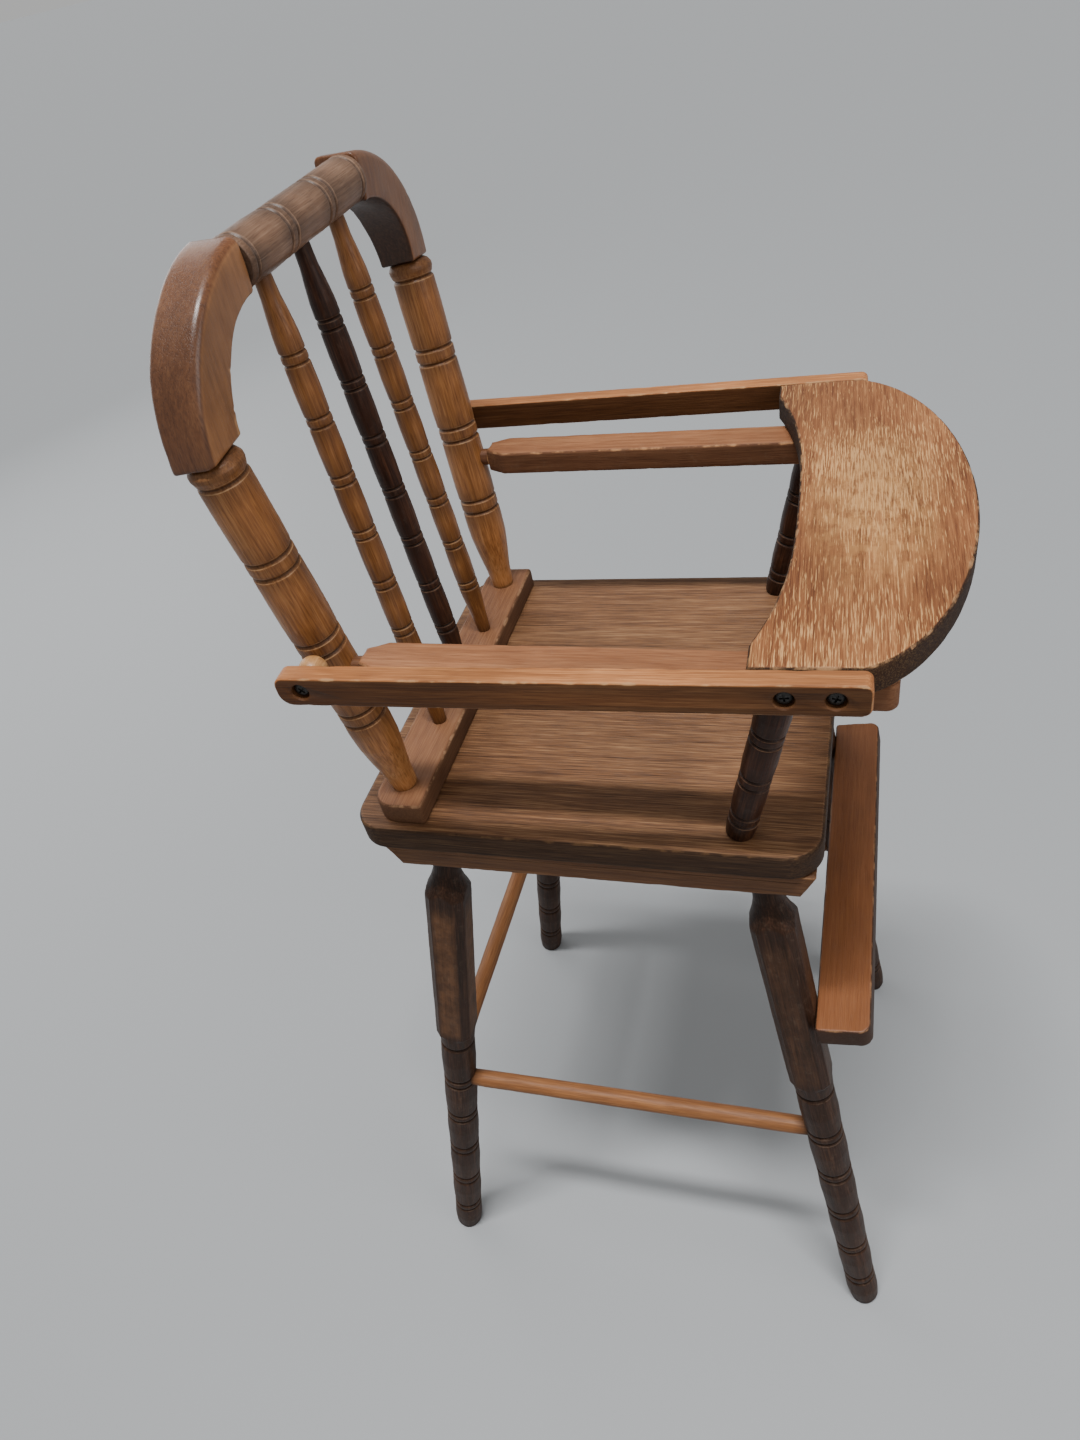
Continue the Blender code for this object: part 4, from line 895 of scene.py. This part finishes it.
def add_stretchers():
    spans = []
    for side, sign in SIDES.items():
        front, rear = [leg_point(end, sign, SIDE_STRETCHER_PART) for end in ("front", "rear")]
        spans.append((f"side_stretcher_{side}", front, rear, (1, 0, 0)))
    right, left = [leg_point("rear", sign, REAR_STRETCHER_PART) for sign in SIDES.values()]
    spans.append(("rear_stretcher", right, left, (0, 1, 0)))
    for index, (name, start, end, across) in enumerate(spans):
        axis = (end - start).normalized()
        start, end = start + axis * 13 * MM, end - axis * 13 * MM
        length = (end - start).length
        points = [plain(0, 7.2 * MM, 0, 1), plain(4 * MM, 7.5 * MM, 0, 0.5), plain(12 * MM, 7.7 * MM),
                  plain(length * 0.5, 7.9 * MM), plain(length - 12 * MM, 7.7 * MM),
                  plain(length - 4 * MM, 7.5 * MM, 0, 0.5), plain(length, 7.2 * MM, 0, 1)]
        bm = lathe(smooth_profile(points, 3 * MM), 32, 0.2 * MM, index * 17 + 100)
        finish_piece(name, bm, axis_matrix(start, end, across), HONEY, "frame", [name])


def add_footrest():
    head, foot = leg_ends("front", 1)
    lean = math.atan2(foot.y - head.y, head.z - foot.z)
    centre = head.lerp(foot, 0.255)
    matrix = Matrix.Translation((0, centre.y, centre.z)) @ Matrix.Rotation(-lean, 4, "X").inverted()
    radii = [9 * MM, 9 * MM, 3 * MM, 3 * MM]
    outline = rounded_rectangle(-166 * MM, 166 * MM, -55.3 * MM, -16.3 * MM, radii)
    bm = board(outline, -9 * MM, 9 * MM, 1.8 * MM, 4 * MM, (1, 2.5, 5), seed=70, chips=0.6 * MM)
    place_board("footrest", bm, matrix, FOOTREST_WOOD)


# ---------- tray
def tray_outline():
    """Half an ellipse in front, cut off at the sides, and a shallow hollow for the child behind."""
    reach_x, reach_y, hollow_half, hollow_depth, steps = 175 * MM, 84 * MM, 150 * MM, 20 * MM, 48
    reach = math.degrees(math.acos(TRAY_SIDE / reach_x))
    front = arc((0, -164 * MM), reach_x, reach_y, 180 + reach, 360 - reach, 90)
    rear = [(TRAY_SIDE, TRAY_REAR), (hollow_half, TRAY_REAR)]
    for index in range(1, steps):
        part = 2 * index / steps - 1
        rear.append((-hollow_half * part, TRAY_REAR - hollow_depth * (1 - abs(part) ** 3)))
    return front + rear + [(-hollow_half, TRAY_REAR), (-TRAY_SIDE, TRAY_REAR)]


def add_tray_board():
    bm = board(tray_outline(), 0.3 * MM, TRAY_TOP, 2.4 * MM, 4 * MM, (1.5, 4, 9), seed=81, chips=0.7 * MM)
    spread_top(bm, TRAY_TOP)
    place_board("tray_board", bm, TRAY, TRAY_WOOD, "tray")


def spread_top(bm, top):
    """Cut the top into a grid and mark how near each point is to the rubbed middle of the tray."""
    face = max((f for f in bm.faces if f.normal.z > 0.5 or f.calc_center_median().z > top - 0.1 * MM),
               key=lambda f: f.calc_area())
    tint = bm.verts.layers.float["tint"]
    geometry = [face, *face.edges, *face.verts]
    planes = [((index * 20 * MM, 0, 0), (1, 0, 0)) for index in range(-8, 9)]
    planes += [((0, (-125 - index * 18) * MM, 0), (0, 1, 0)) for index in range(1, 7)]
    for place, normal in planes:
        cut = bmesh.ops.bisect_plane(bm, geom=geometry, plane_co=place, plane_no=normal)
        geometry = list({item for item in cut["geom"]} | {item for item in cut["geom_cut"]})
    for vert in bm.verts:
        away = math.hypot((vert.co.x + 8 * MM) / (105 * MM), (vert.co.y + 188 * MM) / (46 * MM))
        vert[tint] = max(0.0, 1 - away) ** 0.8


def add_tray_arms():
    """The two bars, bored for their screws. The pivot screws stay with the back posts."""
    low, height = -1.7 * MM, 21 * MM
    radii = [6 * MM, 9 * MM, 7 * MM, 5 * MM]
    outline = rounded_rectangle(-186 * MM, 153 * MM, low, low + height, radii)
    for side, sign in SIDES.items():
        near, far = sorted((sign * TRAY_ARM_INNER, sign * TRAY_ARM_OUTER))
        outward = TRAY.to_3x3() @ Vector((sign, 0, 0))
        bm = board(outline, near, far, 1.6 * MM, 3 * MM, (0.9, 2, 3.2), seed=sign * 3 + 120, chips=0.55 * MM)
        arm = place_board(f"tray_arm_{side}", bm, TRAY @ SIDE_VIEW, TRAY_ARM_WOOD, "tray")
        cutters = []
        for y in SCREW_PLACES.values():
            mouth = TRAY @ Vector((sign * TRAY_ARM_OUTER, y, SCREW_Z))
            cutters.append(hole_cutter(axis_matrix(mouth, mouth + outward, (0, 1, 0)), 5.6 * MM, 4.4 * MM))
        cut_holes(arm, cutters)
        for place, y in SCREW_PLACES.items():
            head = TRAY @ Vector((sign * (TRAY_ARM_OUTER - 2.2 * MM), y, SCREW_Z))
            if place == "pivot":
                add_screw(f"pivot_screw_{side}", head, outward, "frame", y)
            else:
                add_screw(f"tray_screw_{side}_{place}", head, outward, "tray", y)


def add_screw(name, head, outward, body, y):
    """Pan head with a cross recess at its own angle, down to where its shank goes into the wood."""
    matrix = axis_matrix(head, head + outward, (0, 1, 0)) @ Matrix.Rotation(y * 12400, 4, "Z")
    radius = 4.7 * MM
    profile = [(-2.6 * MM, 2.0 * MM, 0, 0), (-2.2 * MM, radius - 0.3 * MM, 0, 0),
               (-1.5 * MM, radius, 0, 0), (-0.8 * MM, radius - 0.35 * MM, 0, 0),
               (-0.3 * MM, radius - 1.2 * MM, 0, 0), (0, radius - 2.6 * MM, 0, 0)]
    screw = finish_piece(name, lathe(profile, 40, 0.0), matrix, BLACK, body, [name], sharp=35)
    arm, half = 2.8 * MM, 0.7 * MM
    plus = [(arm, -half), (arm, half), (half, half), (half, arm), (-half, arm), (-half, half),
            (-arm, half), (-arm, -half), (-half, -half), (-half, -arm), (half, -arm), (half, -half)]
    cross = bmesh.new()
    top = [cross.verts.new((x, y, 1 * MM)) for x, y in plus]
    bottom = [cross.verts.new((x * 0.62, y * 0.8, -1.6 * MM)) for x, y in plus]
    skin(cross, [bottom, top])
    cut_holes(screw, [add_mesh("cross", cross, matrix)])


def add_balls():
    """Wooden balls on the pivot screws, flat against the arms' inner faces."""
    radius, flat, gap, steps = 9.3 * MM, 7 * MM, 0.3 * MM, 24
    first, last = math.radians(8), math.pi - math.acos(flat / radius)
    profile = []
    for index in range(steps + 1):
        angle = first + (last - first) * index / steps
        # The flat face against the arm is darkened: painted shade where the parts meet
        dirt_and_shade = 0.8 if index == steps else 0.0
        profile.append((-radius * math.cos(angle), radius * math.sin(angle), 0.0, dirt_and_shade))
    for side, sign in SIDES.items():
        centre = TRAY @ Vector((sign * (TRAY_ARM_INNER - gap - flat), PIVOT_Y, SCREW_Z))
        outward = TRAY.to_3x3() @ Vector((sign, 0, 0))
        matrix = axis_matrix(centre, centre + outward, (0, 1, 0))
        name = f"pivot_ball_{side}"
        bm = lathe(profile, 48, 0.05 * MM, sign * 4)
        finish_piece(name, bm, matrix, PALE, "frame", [name])


def dress_hidden_screws():
    """The screws under the seat keep their CAD shape and get the same metal."""
    for name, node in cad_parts.items():
        if "_screw_" in name and not node.hide_render:
            node.data.materials.clear()
            node.data.materials.append(BLACK)


# ---------- stage
def add_floor():
    material = bpy.data.materials.new("floor")
    material.use_nodes = True
    shader = material.node_tree.nodes["Principled BSDF"]
    shader.inputs["Base Color"].default_value = (0.233, 0.241, 0.249, 1)
    shader.inputs["Roughness"].default_value = 0.55
    bm = bmesh.new()
    bm.faces.new([bm.verts.new((x * 60, y * 60, 0)) for x, y in ((-1, -1), (1, -1), (1, 1), (-1, 1))])
    floor = add_mesh("floor", bm)
    floor.data.materials.append(material)


def aim_light(name, light, place, aim):
    obj = bpy.data.objects.new(name, light)
    obj.location = place
    obj.rotation_euler = (Vector(aim) - Vector(place)).to_track_quat("-Z", "Y").to_euler()
    bpy.context.scene.collection.objects.link(obj)


def add_area_light(name, size, energy, place):
    light = bpy.data.lights.new(name, "AREA")
    light.size = size
    light.energy = energy
    aim_light(name, light, place, (0, 0, 0.6))


def add_lights():
    """A long overhead strip as a row of suns, a soft fill on each side and a pale world."""
    world = bpy.data.worlds.new("studio")
    world.use_nodes = True
    world.node_tree.nodes["Background"].inputs["Color"].default_value = (0.93, 0.93, 0.92, 1)
    world.node_tree.nodes["Background"].inputs["Strength"].default_value = 0.52
    bpy.context.scene.world = world
    lamps, total_energy, lamp_angle, strip_reach, strip_x = 7, 4.6, 4.6, 11.5, -0.163
    for index in range(lamps):
        sun = bpy.data.lights.new("strip_lamp", "SUN")
        sun.energy = total_energy / lamps
        sun.angle = math.radians(lamp_angle)
        tilt = math.radians(strip_reach * (2 * index / (lamps - 1) - 1))
        aim_light("strip_lamp", sun, (strip_x, math.tan(tilt), 1), (0, 0, 0))
    add_area_light("front_fill", 1.4, 22, (-0.7, -2.0, 1.7))
    add_area_light("rear_fill", 2, 26, (1.3, 2.3, 1.5))


def add_camera():
    """The photograph's view: position, direction and roll in the chair's own frame."""
    azimuth, pitch, roll = 0.42724, -0.69953, -0.25139
    place = Matrix.Translation((-0.56876, -0.19105, 1.11706))
    ahead = math.cos(pitch)
    forward = Vector((ahead * math.cos(azimuth), ahead * math.sin(azimuth), math.sin(pitch)))
    level = Vector((math.sin(azimuth), -math.cos(azimuth), 0))
    upright = level.cross(forward)
    right = level * math.cos(roll) + upright * math.sin(roll)
    up = upright * math.cos(roll) - level * math.sin(roll)
    camera = bpy.data.cameras.new("camera")
    camera.sensor_width = 36
    camera.lens = 24.786
    camera.clip_start = 0.02
    obj = bpy.data.objects.new("camera", camera)
    rotation = Matrix((right, up, -forward)).transposed().to_4x4()
    obj.matrix_world = SHIFT @ place @ rotation
    bpy.context.scene.collection.objects.link(obj)
    bpy.context.scene.camera = obj


def build():
    add_camera()
    add_lights()
    add_floor()
    add_seat()
    add_cleats()
    add_back_rail()
    add_back()
    add_blocks()
    add_armrests()
    add_arm_posts()
    add_legs()
    add_stretchers()
    add_footrest()
    add_tray_board()
    add_tray_arms()
    add_balls()
    dress_hidden_screws()


build()
